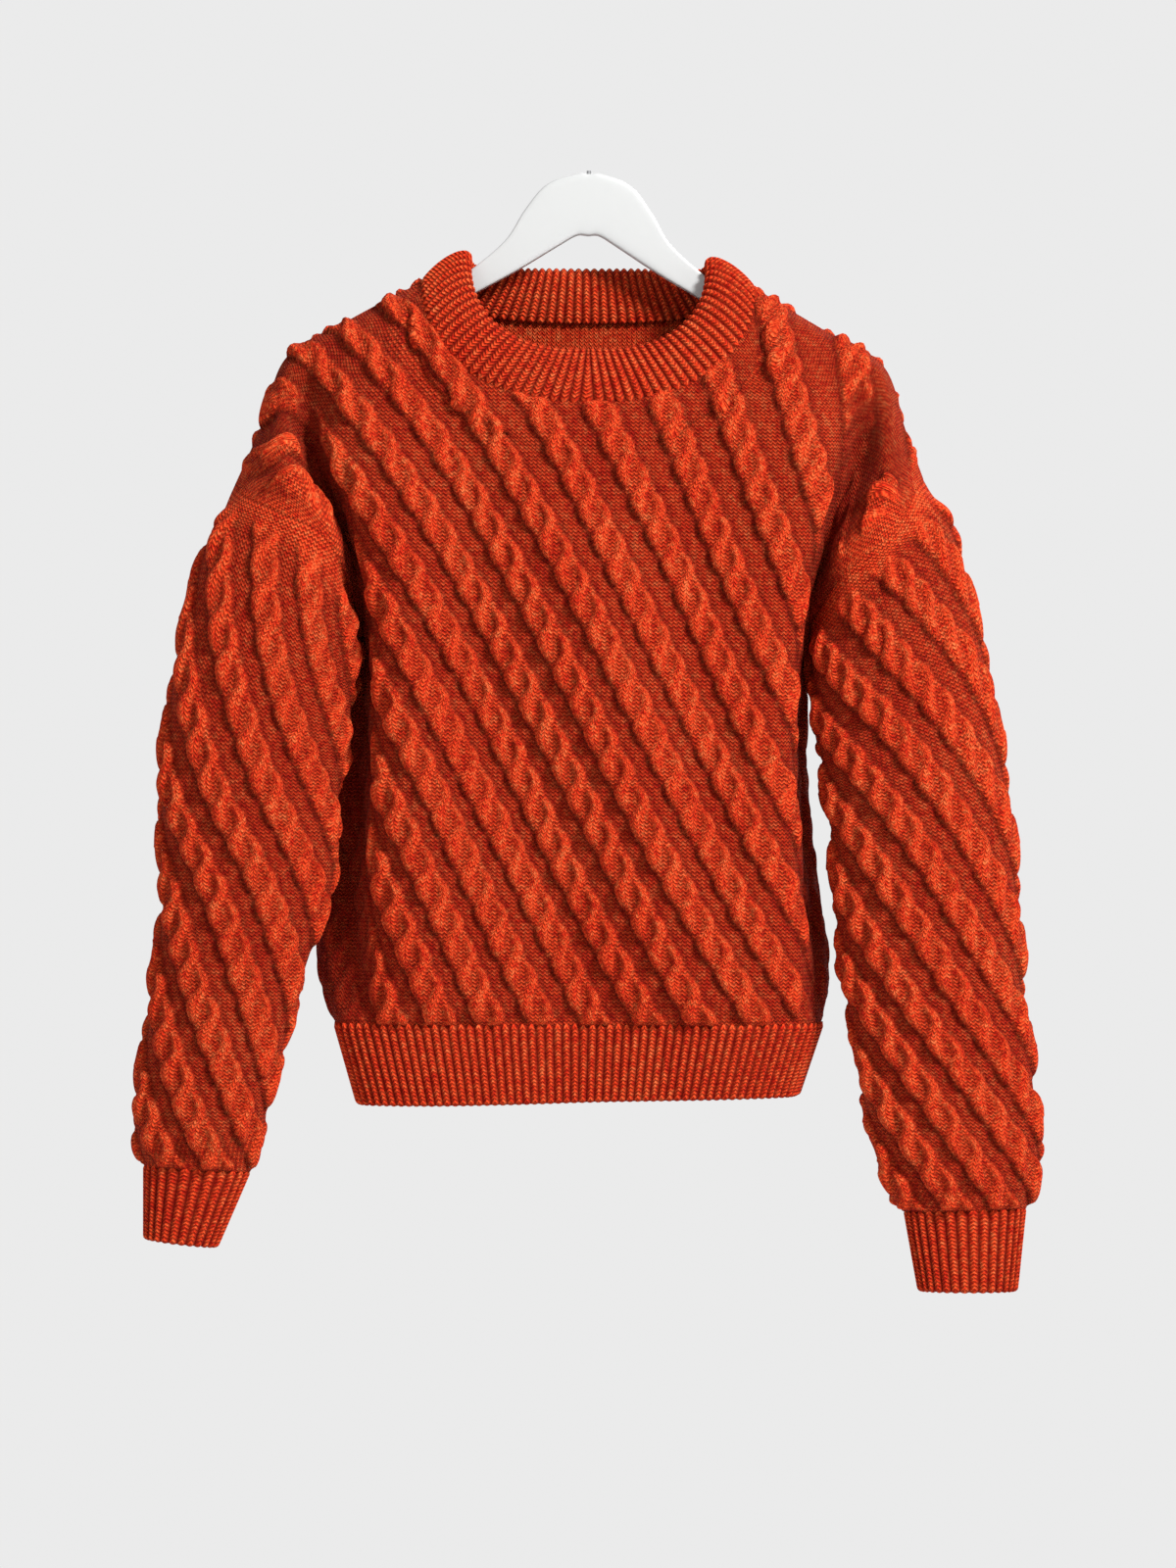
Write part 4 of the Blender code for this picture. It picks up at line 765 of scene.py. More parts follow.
# %% The sleeves as surfaces
LEFT_SLEEVE = (
    # left end        right end      middle y  half depth  rise
    (-253, -222, -166, -311, 3, 40, 21),
    (-272, -265, -165, -337, -6, 38, 12),
    (-286, -321, -168, -366, -14, 36, 6),
    (-297, -380, -171, -402, -20, 35, 2),
    (-302, -435, -177, -437, -24, 34, 0),
    (-301, -505, -183, -505, -26, 32, 0),
    (-307, -575, -204, -575, -27, 30, 0),
    (-317, -645, -224, -645, -27, 28, 0),
    (-320, -684, -233, -685, -26, 25, 0),
    (-315, -706, -240, -710, -25, 20, 0),
)
RIGHT_SLEEVE = (
    # left end        right end      middle y  half depth  rise
    (158, -323, 239, -218, 3, 40, 3),
    (159, -352, 257, -252, -6, 38, 2),
    (161, -387, 270, -304, -13, 37, 1),
    (165, -412, 281, -352, -18, 36, 0),
    (168, -440, 289, -402, -22, 36, 0),
    (173, -480, 297, -462, -25, 34, 0),
    (176, -536, 303, -528, -27, 32, 0),
    (183, -588, 306, -586, -27, 30, 0),
    (193, -645, 314, -645, -27, 28, 0),
    (202, -690, 318, -690, -27, 26, 0),
    (212, -718, 316, -716, -26, 24, 0),
    (222, -738, 310, -736, -25, 20, 0),
)
SLEEVE_LEAN = math.radians(27.0)
SLEEVE_PITCH = (39.0, 35.0)
ARMHOLE_EASE = 30.0  # length over which the tube leaves the armhole's shape


def oval(row, turn):
    """A point of an ellipse. Its width runs between the two ends and its depth along Y, and front and
    back are lifted square to the width by the rise. row has the columns of the tables."""
    row = np.moveaxis(np.asarray(row, float), -1, 0)
    left_x, left_z, right_x, right_z, middle_y, half_depth, rise = row
    half_x, half_z = (right_x - left_x) / 2, (right_z - left_z) / 2
    lift = rise * np.abs(np.sin(turn)) / np.hypot(half_x, half_z)
    x = (left_x + right_x) / 2 - np.cos(turn) * half_x - lift * half_z
    z = (left_z + right_z) / 2 - np.cos(turn) * half_z + lift * half_x
    return np.stack([x, middle_y - half_depth * np.sin(turn), z], axis=-1)


class Sleeve(Sheet):
    closed = True

    def __init__(self, table, sign):
        self.table = np.array(table, float)
        self.sign = sign
        middles = (self.table[:, [0, 1]] + self.table[:, [2, 3]]) / 2
        self.ring_at = running_length(middles)
        self.length = self.ring_at[-1]
        self.grid_u = np.linspace(-1, 1, 181)
        self.grid_v = np.linspace(0, 1, 91)
        self.grid_a = running_length(self.tube(self.grid_u[None, :], self.grid_v[:, None]))

    def tube(self, u, v):
        """Round the tube once from the armpit, along it from the shoulder to the cuff."""
        u, v = np.broadcast_arrays(np.asarray(u, float), np.asarray(v, float))
        start = math.pi if self.sign < 0 else 0.0
        return oval(spline(self.ring_at / self.length, self.table, v), start + (u + 1) * math.pi)

    def armhole(self, u):
        """The armhole once round from the armpit: up the edge of one panel and down that of the other. A
        point's place is its share of the way round."""
        rows = np.linspace(ARMPIT, 1, 200)
        edges = [panel.surface(float(self.sign), rows) for panel in (front_panel, back_panel)]
        if self.sign < 0:
            edges.reverse()
        loop = np.vstack([edges[0], edges[1][::-1][1:]])
        run = running_length(loop)
        share = self.across(u, 0.0) / self.grid_a[0, -1]
        return resample(loop, run, share * run[-1])

    def surface(self, u, v):
        """The tube, moved onto the armhole at its top, less and less over the ease."""
        gap = self.armhole(u) - self.tube(u, 0.0)
        ease = 1 - smoothstep(0, 1, v * self.length / ARMHOLE_EASE)
        return self.tube(u, v) + gap * ease[..., None]

    def cable_place(self, u, v):
        """Cables wind down to the right all round, counted from the front's middle."""
        pitch = SLEEVE_PITCH[0] + (SLEEVE_PITCH[1] - SLEEVE_PITCH[0]) * v
        start = self.across(-0.5 * self.sign, v)
        return (self.across(u, v) - start - v * self.length * math.tan(SLEEVE_LEAN)) / pitch, pitch


left_sleeve = Sleeve(LEFT_SLEEVE, -1)
right_sleeve = Sleeve(RIGHT_SLEEVE, 1)
print("sleeves:", round(left_sleeve.length), round(right_sleeve.length), "mm long")

# %% [markdown]
# ## The sleeves' cables
# They are knitted as the panels are. Near the armhole the real cables run into gathers and fade out, so
# the cloth is left plain there.

# %% Knit the sleeves
PLAIN_CAP = (6.0, 30.0)  # the cables of a sleeve rise between these distances from the armhole


def knit_sleeve(name, sleeve, rows, columns):
    """Rows and columns are each one more than a multiple of three."""
    u, v, ground = even_grid(sleeve, np.linspace(0, 1, rows), columns)
    a = sleeve.across(u, v)
    from_armhole = v * sleeve.length
    from_seam = np.minimum(np.minimum(a, a[:, -1:] - a), (1 - v) * sleeve.length)
    cap = smoothstep(*PLAIN_CAP, from_armhole)
    fade = smoothstep(0, SEAM_FADE, from_seam) * cap
    cables = (*sleeve.cable_place(u, v), -from_armhole)
    return knit(name, sleeve, u, v, ground, cables, fade, cap, np.ones_like(v), -1)


sleeve_left = knit_sleeve("sleeve_left_knit", left_sleeve, 307, 166)
sleeve_right = knit_sleeve("sleeve_right_knit", right_sleeve, 322, 172)

# %% [markdown]
# ## Ribbed bands
# Hem and cuffs are knitted in a narrow rib: one raised column of stitches, then a sunken one that hides
# beside it. Such a band is a closed profile carried round the opening: down the outside, round the lower
# edge and up the inside, where the ribs show as hollows.

# %% Carry a ribbed profile round an opening
RIB_HEIGHT = 2.3
RIB_HOLLOW = 0.6  # depth of the hollows inside, as a share of the ribs
RIB_LIGHT = 0.56  # painted light on the back of a rib; the grooves get painted shade
EDGE_STEPS = 9  # points of the half circle round a lower edge


def rib(places):
    """Height of a rib over one pitch, from 0 to 1: a round back between two narrow grooves, |sin|."""
    return np.abs(np.sin(math.pi * places))


def carry(name, base, ribs, lengths, inside):
    """A closed profile carried round a closed ring. base is a grid with the profile down its rows and the
    ring across its columns, both closed. inside is 1 on the inner face and 0 outside, for each row."""
    normals = grid_normals(base, across_wraps=True, along_wraps=True)
    centre = base[:, :-1].mean(axis=(0, 1))
    outward = np.sign(((base[0] - centre) * normals[0])[:, :2].sum())
    places = np.linspace(0, 1, base.shape[1])[None, :] * ribs + 0 * lengths[:, None]
    raised = rib(places) * (1 - inside[:, None]) + (1 - rib(places)) * RIB_HOLLOW * inside[:, None]
    points = base + normals * outward * (raised * RIB_HEIGHT)[..., None]
    faces = quads(np.arange(places.size).reshape(places.shape))
    stitches = np.stack([places, lengths[:, None] / STITCH_ROW + 0 * places], axis=-1).reshape(-1, 2)
    # painted light on the backs of the ribs and painted shade in their grooves
    layers = {"knit": np.ones(places.size), "crest": (RIB_LIGHT * raised).ravel()}
    maps = {"cloth": stitches, "strand": stitches}
    if outward < 0:
        faces = faces[:, ::-1]
    return make_mesh(name, points.reshape(-1, 3), [faces], layers, maps)


def plain_profile(length, thickness, steps):
    """Down the outside, round the lower edge in a half circle, up the inside and back to the start.
    Columns: height above the lower edge, distance out from the outer face, and 1 on the inner face."""
    r = thickness / 2
    sides = np.linspace(0, 1, steps)
    arc = np.linspace(0, math.pi, EDGE_STEPS)[1:-1]
    up = np.concatenate([length + (r - length) * sides, r - r * np.sin(arc), r + (length - r) * sides])
    out = np.concatenate([0 * sides, r * np.cos(arc) - r, 0 * sides - thickness])
    inside = np.concatenate([0 * sides, smoothstep(0, math.pi, arc), 0 * sides + 1])
    profile = np.stack([up, out, inside], axis=-1)
    return np.vstack([profile, profile[:1]])


def straight_band(name, top, low, ribs, steps):
    """A band between two rings of points that each start and end in the same place."""
    side = top - low
    ahead = np.roll(low[:-1], -1, axis=0) - np.roll(low[:-1], 1, axis=0)
    ahead = np.vstack([ahead, ahead[:1]])
    normal = unit(np.cross(ahead, side))
    normal = normal * np.sign(((low - low[:-1].mean(axis=0)) * normal).sum())
    length = float(np.linalg.norm(side, axis=1).mean())
    profile = plain_profile(length, WALL, steps)
    base = low + side * (profile[:, :1, None] / length) + normal * profile[:, 1:2, None]
    return carry(name, base, ribs, running_length(profile[:, :2]), profile[:, 2])


print("points of a band's profile:", len(plain_profile(50.0, WALL, 10)))

# %% [markdown]
# ## The hem
# The hem starts on the lower edge of both panels and draws in a little towards its own lower edge, which
# hangs slightly lower at the left.

# %% Knit the hem
RIB_PITCH = 6.2
HEM_NARROWING = 0.905
HEM_LEFT = (-181.0, -165.0)  # x of its left end above and below
HEM_LOW_Z = (-663.0, -657.0)  # its lower edge at the left and at the right
HEM_LOW_WIDTH = 315.0
HEM_LOW_DEPTH = 0.94
HEM_POINTS = 1001
HEM_PROFILE_STEPS = 36

edge_u = np.linspace(-1, 1, 401)
hem_line = np.vstack([front_panel.surface(edge_u, 0.0), back_panel.surface(edge_u, 0.0)[::-1][1:]])
hem_run = running_length(hem_line)
hem_at = np.linspace(0, hem_run[-1], HEM_POINTS)
hem_top = resample(hem_line, hem_run, hem_at)
hem_low = hem_top.copy()
hem_low[:, 0] = HEM_LEFT[1] + (hem_top[:, 0] - HEM_LEFT[0]) * HEM_NARROWING
hem_low[:, 1] *= HEM_LOW_DEPTH
hem_share = smoothstep(0, 1, (hem_low[:, 0] - HEM_LEFT[1]) / HEM_LOW_WIDTH)
hem_low[:, 2] = HEM_LOW_Z[0] + (HEM_LOW_Z[1] - HEM_LOW_Z[0]) * hem_share
hem_ribs = round(hem_run[-1] / RIB_PITCH)
hem = straight_band("hem_rib_knit", hem_top, hem_low, hem_ribs, HEM_PROFILE_STEPS)
print("hem:", round(hem_run[-1]), "mm round,", hem_ribs, "ribs")

# %% [markdown]
# ## The cuffs
# A cuff is a short oval tube, narrower than the sleeve that is gathered into it, and its ribs stand
# closer than the hem's.

# %% Knit the cuffs
CUFF_RIB_PITCH = 5.0
CUFFS = {
    # upper and lower ring, with the columns of the sleeves' tables
    "cuff_left_knit": ((-314, -706, -242, -710, -25, 19, 0), (-314, -757, -265, -763, -25, 15, 0)),
    "cuff_right_knit": ((225, -738, 308, -736, -25, 19, 0), (235, -794, 302, -794, -25, 15, 0)),
}
CUFF_POINTS = 289
CUFF_PROFILE_STEPS = 34


def cuff(name):
    """The cuff between the two ovals of its row in CUFFS."""
    top, low = (oval(row, np.linspace(0, 2 * math.pi, CUFF_POINTS)) for row in CUFFS[name])
    for ring in (top, low):
        ring[-1] = ring[0]
    ribs = round(running_length(low)[-1] / CUFF_RIB_PITCH)
    return straight_band(name, top, low, ribs, CUFF_PROFILE_STEPS)


cuff_left = cuff("cuff_left_knit")
cuff_right = cuff("cuff_right_knit")

# %% [markdown]
# ## The neckband
# The neckband is knitted twice as high as it shows, folded in and sewn down, so it is thicker than the
# rest and its top edge is a soft round fold. Its ribs run over the fold, and the back of the band shows
# them inside the neck opening.

# %% Fold the neckband
NECK_PROFILE = (
    # up    out
    (-1.6, 0.4),
    (2.0, 1.4),
    (9.0, 2.6),
    (17.0, 3.0),
    (25.0, 2.2),
    (31.0, 0.4),
    (34.0, -1.8),
    (34.6, -3.9),
    (33.6, -5.8),
    (30.0, -7.2),
    (22.0, -7.8),
    (10.0, -7.6),
    (-1.6, -6.6),
)
BAND_RIB_PITCH = 6.0
NECK_RIB_LINE = 17.0  # ribs are even at this height of the band
NECK_STEPS = 160
NECK_POINTS = 721
NECK_PROFILE_POINTS = 56


def neck_loop(steps):
    """The neckline once round from the left neck point by the front: points, ways up and ways out."""
    quarter = np.linspace(0, 1, steps) * math.pi / 2
    runs = []
    for is_front, signs in ((True, (-1.0, 1.0)), (False, (1.0, -1.0))):
        first = [part[::-1] for part in neck_ring(quarter, is_front, signs[0])]
        second = neck_ring(quarter, is_front, signs[1])
        runs.append([np.vstack([a, b[1:]]) for a, b in zip(first, second)])
    return [np.vstack([a, b[1:]]) for a, b in zip(*runs)]


neck = neck_loop(NECK_STEPS)
neck_run = running_length(neck[0] + neck[1] * NECK_RIB_LINE)
neck_at = np.linspace(0, neck_run[-1], NECK_POINTS)
neck = [resample(part, neck_run, neck_at) for part in neck]
profile = np.array(NECK_PROFILE)
profile_run = running_length(profile)
profile = spline(profile_run, profile, np.linspace(0, profile_run[-1], NECK_PROFILE_POINTS))
profile = np.vstack([profile, profile[:1]])
neck_base = neck[0] + unit(neck[1]) * profile[:, :1, None] + unit(neck[2]) * profile[:, 1:2, None]
neck_ribs = round(neck_run[-1] / BAND_RIB_PITCH)
neckband = carry("neckband_knit", neck_base, neck_ribs, running_length(profile), np.zeros(len(profile)))
print("neckband:", round(neck_run[-1]), "mm round,", neck_ribs, "ribs")

# %% [markdown]
# ## The hanger
# A plain moulded hanger: a flat bar that arches up to its hook and slopes down to two rounded ends. It is
# a rounded rectangle carried along the bar, as wide at each place as the distance between the upper and
# the lower edge.

# %% Mould the hanger
HANGER_TOP = (
    # x and z along the upper edge, from the middle to the tip
    (0, 0), (9, 0), (30, -8), (45, -26), (58, -47.5), (78, -66), (96, -79), (114, -88.6), (145, -100.6),
    (178, -118.6), (201, -132.8), (206.5, -139),
)
HANGER_LOW = (
    (0, -44), (8, -44), (20, -51), (42, -65), (57, -74), (72, -82.5), (88, -91.5), (104, -100.7),
    (140, -119.7), (175, -138.5), (193, -147.7), (203, -147.5),
)
HANGER_THICKNESS = 10.0
HANGER_TILT = math.radians(1.15)
HANGER_SQUARE = 0.28  # how square the section is: 1 is an ellipse
HANGER_END = 0.965  # from this share of an arm on, the tip is rounded


def mould_hanger(along, around):
    """The section is a squared ellipse: cosine and sine to a small power. At the tips it shrinks along
    the bar as a circle does, so the end is round."""
    arm = np.linspace(0, 1, along)
    edges = [spline(np.linspace(0, 1, len(edge)), edge, arm) for edge in (HANGER_TOP, HANGER_LOW)]
    top, low = (np.vstack([edge[::-1] * [-1, 1], edge[1:]]) for edge in edges)
    s = np.linspace(-1, 1, len(top))
    shrink = np.sqrt(np.maximum(1 - smoothstep(HANGER_END, 1.0, np.abs(s)) ** 2, 0.0))[:, None]
    turn = np.linspace(0, 2 * math.pi, around)
    wide, deep = (np.sign(c) * np.abs(c) ** HANGER_SQUARE for c in (np.cos(turn), np.sin(turn)))
    middle, half = (top + low) / 2, (top - low) / 2
    x = middle[:, :1] + half[:, :1] * wide * shrink
    z = middle[:, 1:] + half[:, 1:] * wide * shrink
    y = HANGER_THICKNESS / 2 * deep * shrink
    tilted_x = x * math.cos(HANGER_TILT) + z * math.sin(HANGER_TILT)
    tilted_z = z * math.cos(HANGER_TILT) - x * math.sin(HANGER_TILT)
    points = np.stack([tilted_x, y + 0 * x, tilted_z], axis=-1)
    points[:, -1] = points[:, 0]
    numbers = np.arange(points[..., 0].size).reshape(points.shape[:2])
    return make_mesh("hanger_moulded", points.reshape(-1, 3), [quads(numbers)], {}, {})


hanger = mould_hanger(90, 49)

# %% [markdown]
# ## Stitches
# A knit stitch looks like a V: two legs that run down to the middle of its column. A purl stitch, the
# back of a knit one, looks like a small wavy bar. Both are repeats of a few sine waves in stitch units,
# so two maps on the cloth are enough: one that counts stitches over the ground, and one that follows each
# strand. The knit layer says which of the two shows.

# %% A node group for the stitches


def new_group(name, inputs, outputs):
    """A node group with named inputs and outputs, and its two end nodes."""
    group = bpy.data.node_groups.new(name, "ShaderNodeTree")
    for socket, kind in inputs:
        group.interface.new_socket(socket, in_out="INPUT", socket_type=kind)
    for socket, kind in outputs:
        group.interface.new_socket(socket, in_out="OUTPUT", socket_type=kind)
    return group, group.nodes.new("NodeGroupInput"), group.nodes.new("NodeGroupOutput")


def formula(tree, operation, *values):
    """A Math node; each value is a number or a socket."""
    node = tree.nodes.new("ShaderNodeMath")
    node.operation = operation
    for socket, value in zip(node.inputs, values):
        if isinstance(value, (int, float)):
            socket.default_value = value
        else:
            tree.links.new(value, socket)
    return node.outputs[0]


def wave(tree, value):
    """cos 2π value."""
    return formula(tree, "COSINE", formula(tree, "MULTIPLY", value, 2 * math.pi))


def mix(tree, share, first, second, colours):
    """A Mix node from the first of two values, or of two colours, to the second."""
    node = tree.nodes.new("ShaderNodeMix")
    node.data_type = "RGBA" if colours else "FLOAT"
    at = 6 if colours else 2
    for number, socket in ((0, share), (at, first), (at + 1, second)):
        tree.links.new(socket, node.inputs[number])
    return node.outputs[2 if colours else 0]


def split(tree, vector):
    """The first two numbers of a vector."""
    node = tree.nodes.new("ShaderNodeSeparateXYZ")
    tree.links.new(vector, node.inputs[0])
    return node.outputs[0], node.outputs[1]


def make_stitches():
    """Knit: height = (0.55 + 0.45 cos 2π(row - 1.6 d)) · (cos πd)^0.8, where d is the distance from the
    middle of the column. Purl: height = (0.5 + 0.45 cos 2π(row + 0.22 sin 2π column)) · (0.88 + 0.12 cos
    2π column)."""
    kinds = [("Cloth", "NodeSocketVector"), ("Strand", "NodeSocketVector"), ("Knit", "NodeSocketFloat")]
    group, entry, leave = new_group("knitted_stitches", kinds, [("Height", "NodeSocketFloat")])
    column, row = split(group, entry.outputs["Strand"])
    d = formula(group, "ABSOLUTE", formula(group, "SUBTRACT", formula(group, "FRACT", column), 0.5))
    leg = formula(group, "COSINE", formula(group, "MULTIPLY", d, math.pi))
    leg = formula(group, "POWER", formula(group, "MAXIMUM", leg, 0.0), 0.8)
    beat = wave(group, formula(group, "SUBTRACT", row, formula(group, "MULTIPLY", d, 1.6)))
    knit = formula(group, "MULTIPLY", leg, formula(group, "MULTIPLY_ADD", beat, 0.45, 0.55))
    column, row = split(group, entry.outputs["Cloth"])
    sway = formula(group, "SINE", formula(group, "MULTIPLY", column, 2 * math.pi))
    bar = wave(group, formula(group, "MULTIPLY_ADD", sway, 0.22, row))
    bar = formula(group, "MULTIPLY_ADD", bar, 0.45, 0.5)
    broken = formula(group, "MULTIPLY_ADD", wave(group, column), 0.12, 0.88)
    purl = formula(group, "MULTIPLY", bar, broken)
    height = mix(group, entry.outputs["Knit"], purl, knit, False)
    group.links.new(height, leave.inputs["Height"])
    return group


stitches_group = make_stitches()
print("stitch group nodes:", len(stitches_group.nodes))

# %% [markdown]
# ## Heathered wool
# The yarn is spun from fibres of several dyes: mostly burnt orange, with streaks of brick red and some
# lighter orange. Two fine noises mix them, and a slow one makes patches. Painted shade then turns the
# colour to a deep red between the stitches and in the hollows, wherever less painted light was given.

# %% A node group for the yarn's colour
YARN_NOISES = ((620.0, 2.0), (230.0, 2.0), (17.0, 1.0))  # scale and detail of fibres, streaks and patches
YARN_STEPS = ((0.36, 0.52), (0.5, 0.68))  # the blend turns from dark to middle, then to light


def make_heather():
    """Dark, middle and light wool mixed by noises, then led towards a painted shade colour between the
    stitches and in hollows: share of the wool's colour = (1.15 · height + 0.3) · (0.95 · painted light +
    0.25), 1.15 at most."""
    shades = [(name, "NodeSocketColor") for name in ("Painted Shade", "Dark", "Middle", "Light")]
    inputs = [("Place", "NodeSocketVector"), ("Height", "NodeSocketFloat"), ("Painted Light", "NodeSocketFloat")]
    outputs = [("Colour", "NodeSocketColor"), ("Fibre", "NodeSocketFloat")]
    group, entry, leave = new_group("heathered_wool", inputs + shades, outputs)
    noises = []
    for scale, detail in YARN_NOISES:
        noise = group.nodes.new("ShaderNodeTexNoise")
        noise.inputs["Scale"].default_value = scale
        noise.inputs["Detail"].default_value = detail
        group.links.new(entry.outputs["Place"], noise.inputs["Vector"])
        noises.append(noise.outputs["Fac"])
    fibre, streak, patch = noises
    blend = formula(group, "MULTIPLY_ADD", streak, 0.55, formula(group, "MULTIPLY", fibre, 0.45))
    blend = formula(group, "MULTIPLY_ADD", patch, 0.12, formula(group, "SUBTRACT", blend, 0.06))
    colour = entry.outputs["Dark"]
    for (low, high), shade in zip(YARN_STEPS, ("Middle", "Light")):
        ramp = group.nodes.new("ShaderNodeMapRange")
        ramp.interpolation_type = "SMOOTHSTEP"
        ramp.inputs["From Min"].default_value = low
        ramp.inputs["From Max"].default_value = high
        group.links.new(blend, ramp.inputs["Value"])
        colour = mix(group, ramp.outputs["Result"], colour, entry.outputs[shade], True)
    # painted shade: between the stitches and where little light is painted in, the colour goes towards the
    # painted shade colour
    dim = formula(group, "MULTIPLY_ADD", entry.outputs["Height"], 1.15, 0.3)
    open_to_light = formula(group, "MULTIPLY_ADD", entry.outputs["Painted Light"], 0.95, 0.25)
    share = formula(group, "MINIMUM", formula(group, "MULTIPLY", dim, open_to_light), 1.15)
    colour = mix(group, share, entry.outputs["Painted Shade"], colour, True)
    group.links.new(colour, leave.inputs["Colour"])
    group.links.new(fibre, leave.inputs["Fibre"])
    return group


heather_group = make_heather()
print("heather group nodes:", len(heather_group.nodes))

# %% [markdown]
# ## The wool material
# Wool is matt, with a faint bright edge where fibres stand out against the light. The stitches and the
# fibres are too small to model, so two bumps tilt the shading instead: a strong one for the stitches and
# a fine one for the fuzz.

# %% Wool for the cabled pieces and for the ribs
WOOL_SURFACE = {
    "Roughness": 0.9,
    "Sheen Weight": 0.05,
    "Sheen Roughness": 0.45,
    "Sheen Tint": (1.0, 0.30, 0.15, 1),
    "Specular IOR Level": 0.1,
}
WOOL_SHADES = {
    # the first is a painted shade colour for stitch gaps and hollows; the other three are the yarn's own
    # colours
    "Painted Shade": (0.10, 0.0, 0.0, 1),
    "Dark": (0.60, 0.018, 0.004, 1),
    "Middle": (0.90, 0.070, 0.014, 1),
    "Light": (1.0, 0.19, 0.055, 1),
}


def set_values(node, values):
    """Each input of a node that is named in the table gets its value."""
    for socket, value in values.items():
        node.inputs[socket].default_value = value


def new_material(name, values):
    """A material, its node tree and its Principled shader, on which plain values are set."""
    material = bpy.data.materials.new(name)
    material.use_nodes = True
    shader = material.node_tree.nodes["Principled BSDF"]
    set_values(shader, values)
    return material, material.node_tree, shader


def bump(tree, height, depth, under=None):
    """The normal tilted by a relief of that depth in millimetres, over another bump where there is
    one."""
    node = tree.nodes.new("ShaderNodeBump")
    node.inputs["Distance"].default_value = depth * MM
    tree.links.new(height, node.inputs["Height"])
    if under is not None:
        tree.links.new(under, node.inputs["Normal"])
    return node.outputs["Normal"]


def wool(name, stitch_depth, fuzz_depth):
    """Heathered wool with two bumps, whose depths are in millimetres."""
    material, tree, shader = new_material(name, WOOL_SURFACE)
    stitches = tree.nodes.new("ShaderNodeGroup")
    stitches.node_tree = stitches_group
    for layer, socket in (("cloth", "Cloth"), ("strand", "Strand")):
        source = tree.nodes.new("ShaderNodeUVMap")
        source.uv_map = layer
        tree.links.new(source.outputs["UV"], stitches.inputs[socket])
    heather = tree.nodes.new("ShaderNodeGroup")
    heather.node_tree = heather_group
    set_values(heather, WOOL_SHADES)
    # the painted light layer sets how much painted shade the colour gets
    for layer, socket in (("knit", stitches.inputs["Knit"]), ("crest", heather.inputs["Painted Light"])):
        source = tree.nodes.new("ShaderNodeAttribute")
        source.attribute_name = layer
        tree.links.new(source.outputs["Fac"], socket)
    place = tree.nodes.new("ShaderNodeTexCoord")
    tree.links.new(place.outputs["Object"], heather.inputs["Place"])
    tree.links.new(stitches.outputs["Height"], heather.inputs["Height"])
    tree.links.new(heather.outputs["Colour"], shader.inputs["Base Color"])
    normal = bump(tree, stitches.outputs["Height"], stitch_depth)
    normal = bump(tree, heather.outputs["Fibre"], fuzz_depth, normal)
    tree.links.new(normal, shader.inputs["Normal"])
    return material


cable_wool = wool("cable_wool", 1.8, 0.5)
rib_wool = wool("rib_wool", 1.4, 0.5)

# %% [markdown]
# ## Hanger and hook
# The hanger is white plastic with a satin skin. A very faint bump keeps its reflections from looking like
# glass. The stub of wire at its top is plain steel.

# %% Plastic and steel
ROUGHNESS_SPREAD = 0.12


def hard_material(name, colour, roughness, metallic, grain_scale, grain_depth):
    """A smooth material whose roughness and bump both follow one fine noise."""
    material, tree, shader = new_material(name, {"Base Color": (*colour, 1), "Metallic": metallic})
    place = tree.nodes.new("ShaderNodeTexCoord")
    grain = tree.nodes.new("ShaderNodeTexNoise")
    grain.inputs["Scale"].default_value = grain_scale
    tree.links.new(place.outputs["Object"], grain.inputs["Vector"])
    grain = grain.outputs["Fac"]
    rough = formula(tree, "MULTIPLY_ADD", grain, ROUGHNESS_SPREAD, roughness - ROUGHNESS_SPREAD / 2)
    tree.links.new(rough, shader.inputs["Roughness"])
    tree.links.new(bump(tree, grain, grain_depth), shader.inputs["Normal"])
    return material


plastic = hard_material("white_plastic", (0.52, 0.525, 0.52), 0.40, 0.0, 160.0, 0.05)
steel = hard_material("hook_steel", (0.45, 0.45, 0.46), 0.32, 1.0, 700.0, 0.03)

# %% [markdown]
# ## Who stands for what
# Each fine piece takes the place of its solid, rides on the sweater's one body and takes its material.

# %% Dress the solids
CLOTH = (
    # piece, node, slot, material, flat width and length, area, rests on
    (front, "front", "wool_knit", cable_wool, (0.56, 0.56), 0.262, ["hanger_moulded"]),
    (back, "back", "wool_knit", cable_wool, (0.56, 0.57), 0.262, ["hanger_moulded"]),
    (sleeve_left, "sleeve_left", "wool_knit", cable_wool, (0.28, 0.47), None, ["front_knit"]),
    (sleeve_right, "sleeve_right", "wool_knit", cable_wool, (0.28, 0.49), None, ["front_knit"]),
    (hem, "hem_rib", "wool_rib", rib_wool, (0.72, 0.055), None, ["front_knit"]),
    (cuff_left, "cuff_left", "wool_rib", rib_wool, (0.17, 0.052), None, ["sleeve_left_knit"]),
    (cuff_right, "cuff_right", "wool_rib", rib_wool, (0.19, 0.057), None, ["sleeve_right_knit"]),
    (neckband, "neckband", "wool_rib", rib_wool, (0.58, 0.068), None, ["hanger_moulded"]),
)

for piece, node, slot, material, flat_size, area, rests_on in CLOTH:
    piece.data.materials.append(material)
    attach(piece, "root")
    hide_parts(node)

hanger.data.materials.append(plastic)
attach(hanger, "root")
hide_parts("hanger")
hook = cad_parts["hook_stub"]
hook.data.materials.clear()
hook.data.materials.append(steel)
print("pieces of cloth:", len(CLOTH))

# %% [markdown]
# ## Light and floor
# The photograph was lit softly from all round, and more strongly from the right and above, on a pale
# ground. The world gives the soft part and the pale background. A small strong lamp draws the cables, a
# weak wide one keeps the left side from going dark, and one behind lights the back. The floor lies far
# below, as under a rail.

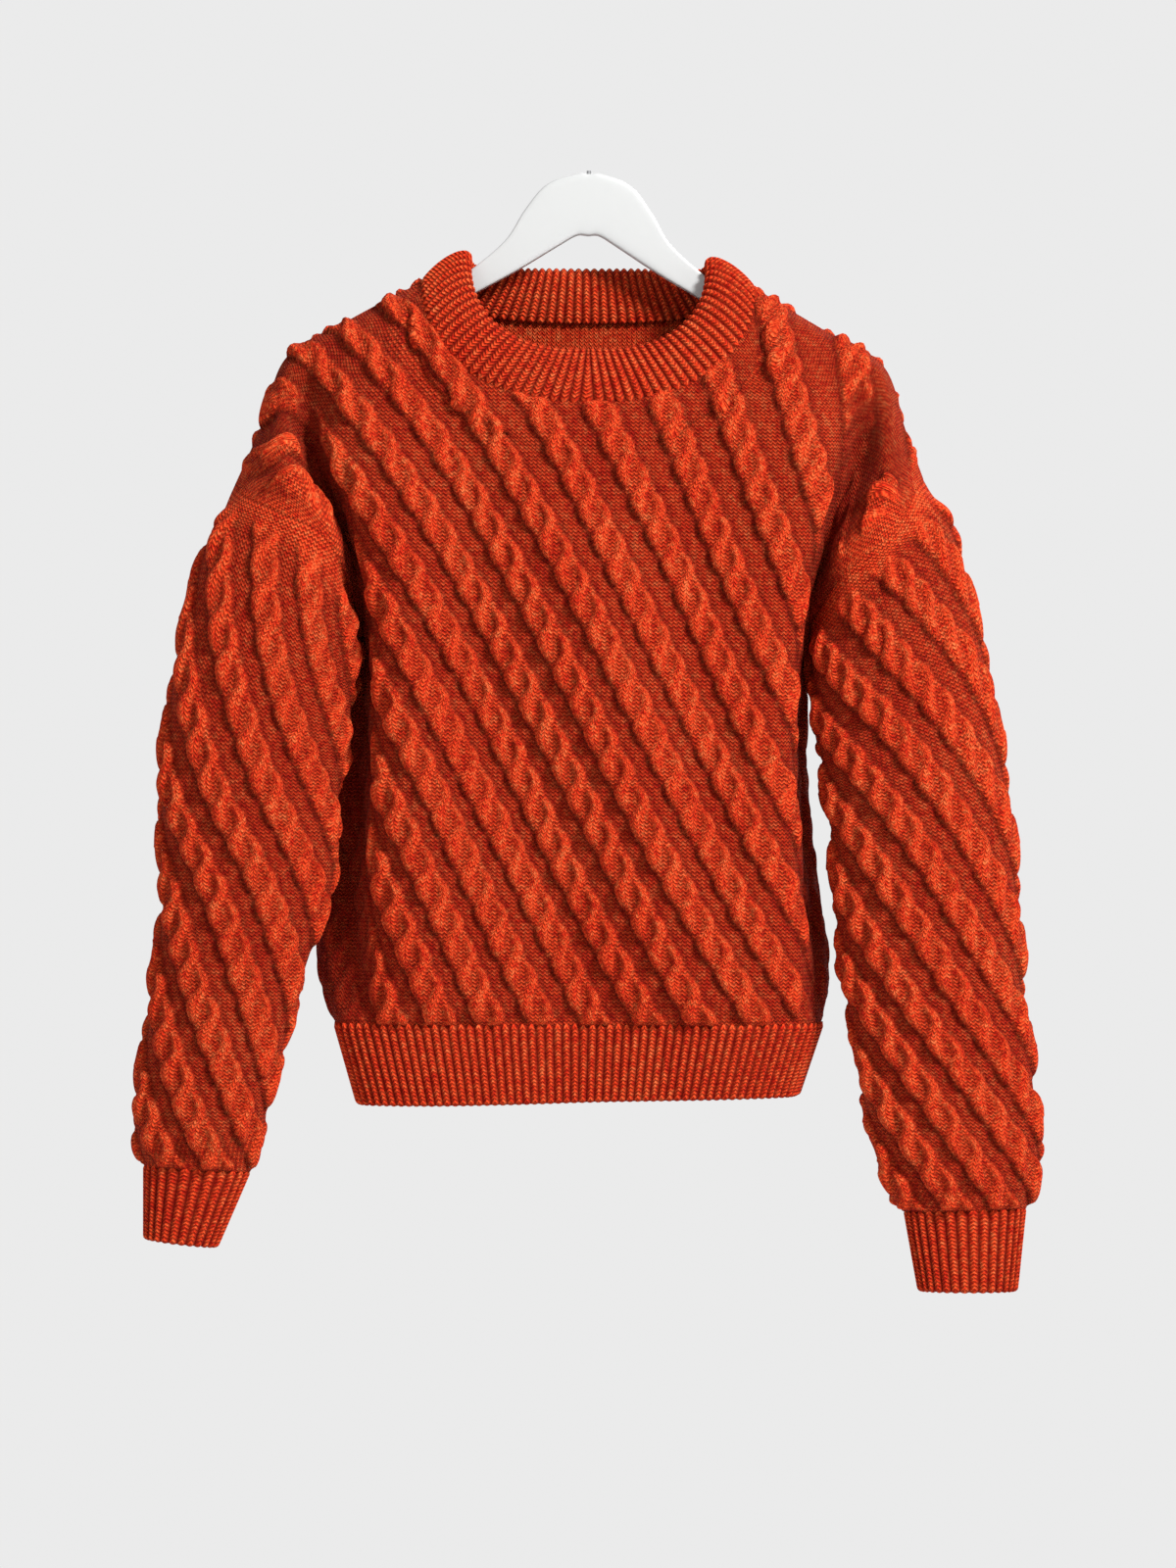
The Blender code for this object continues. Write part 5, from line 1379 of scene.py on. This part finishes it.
# %% Light the sweater
BACKGROUND = (0.83, 0.83, 0.83, 1)
WORLD_LIGHT = 0.40
CHEST = (0, 0, -0.4)
LAMPS = (
    # name, place, size, power
    ("key_lamp", (2.0, -2.1, 1.7), 0.8, 190),
    ("fill_lamp", (-2.2, -2.6, 0.3), 2.0, 16),
    ("back_lamp", (0.6, 2.8, 1.2), 2.0, 40),
)
FLOOR_RADIUS = 3.0
FLOOR_HEIGHT = -1.55
FLOOR_PAINT = {"Base Color": (0.8, 0.8, 0.8, 1), "Roughness": 0.9}


def area_light(name, place, target, size, power):
    """A round lamp at a place, turned so that it shines at the target."""
    data = bpy.data.lights.new(name, "AREA")
    data.energy = power
    data.shape = "DISK"
    data.size = size
    light = bpy.data.objects.new(name, data)
    light.location = place
    direction = np.array(target, float) - np.array(place, float)
    pitch = math.atan2(math.hypot(direction[0], direction[1]), -direction[2])
    light.rotation_euler = (pitch, 0, math.atan2(-direction[0], direction[1]))
    bpy.context.scene.collection.objects.link(light)
    return light


lamps = [area_light(name, place, CHEST, size, power) for name, place, size, power in LAMPS]

world = bpy.data.worlds.new("studio")
world.use_nodes = True
bpy.context.scene.world = world
nodes = world.node_tree.nodes
links = world.node_tree.links
ambient = nodes["Background"]
ambient.inputs["Color"].default_value = (1, 1, 1, 1)
ambient.inputs["Strength"].default_value = WORLD_LIGHT
seen = nodes.new("ShaderNodeBackground")
seen.inputs["Color"].default_value = BACKGROUND
choose = nodes.new("ShaderNodeMixShader")
path = nodes.new("ShaderNodeLightPath")
links.new(path.outputs["Is Camera Ray"], choose.inputs["Fac"])
links.new(ambient.outputs[0], choose.inputs[1])
links.new(seen.outputs[0], choose.inputs[2])
links.new(choose.outputs[0], nodes["World Output"].inputs["Surface"])
bpy.context.scene.view_settings.view_transform = "Standard"

bpy.ops.mesh.primitive_circle_add(
    vertices=96, radius=FLOOR_RADIUS, fill_type="NGON", location=(0, 0, FLOOR_HEIGHT)
)
floor = bpy.context.object
floor.name = "floor"
floor.data.materials.append(new_material("floor_paint", FLOOR_PAINT)[0])
print("lamps:", [lamp.name for lamp in lamps])
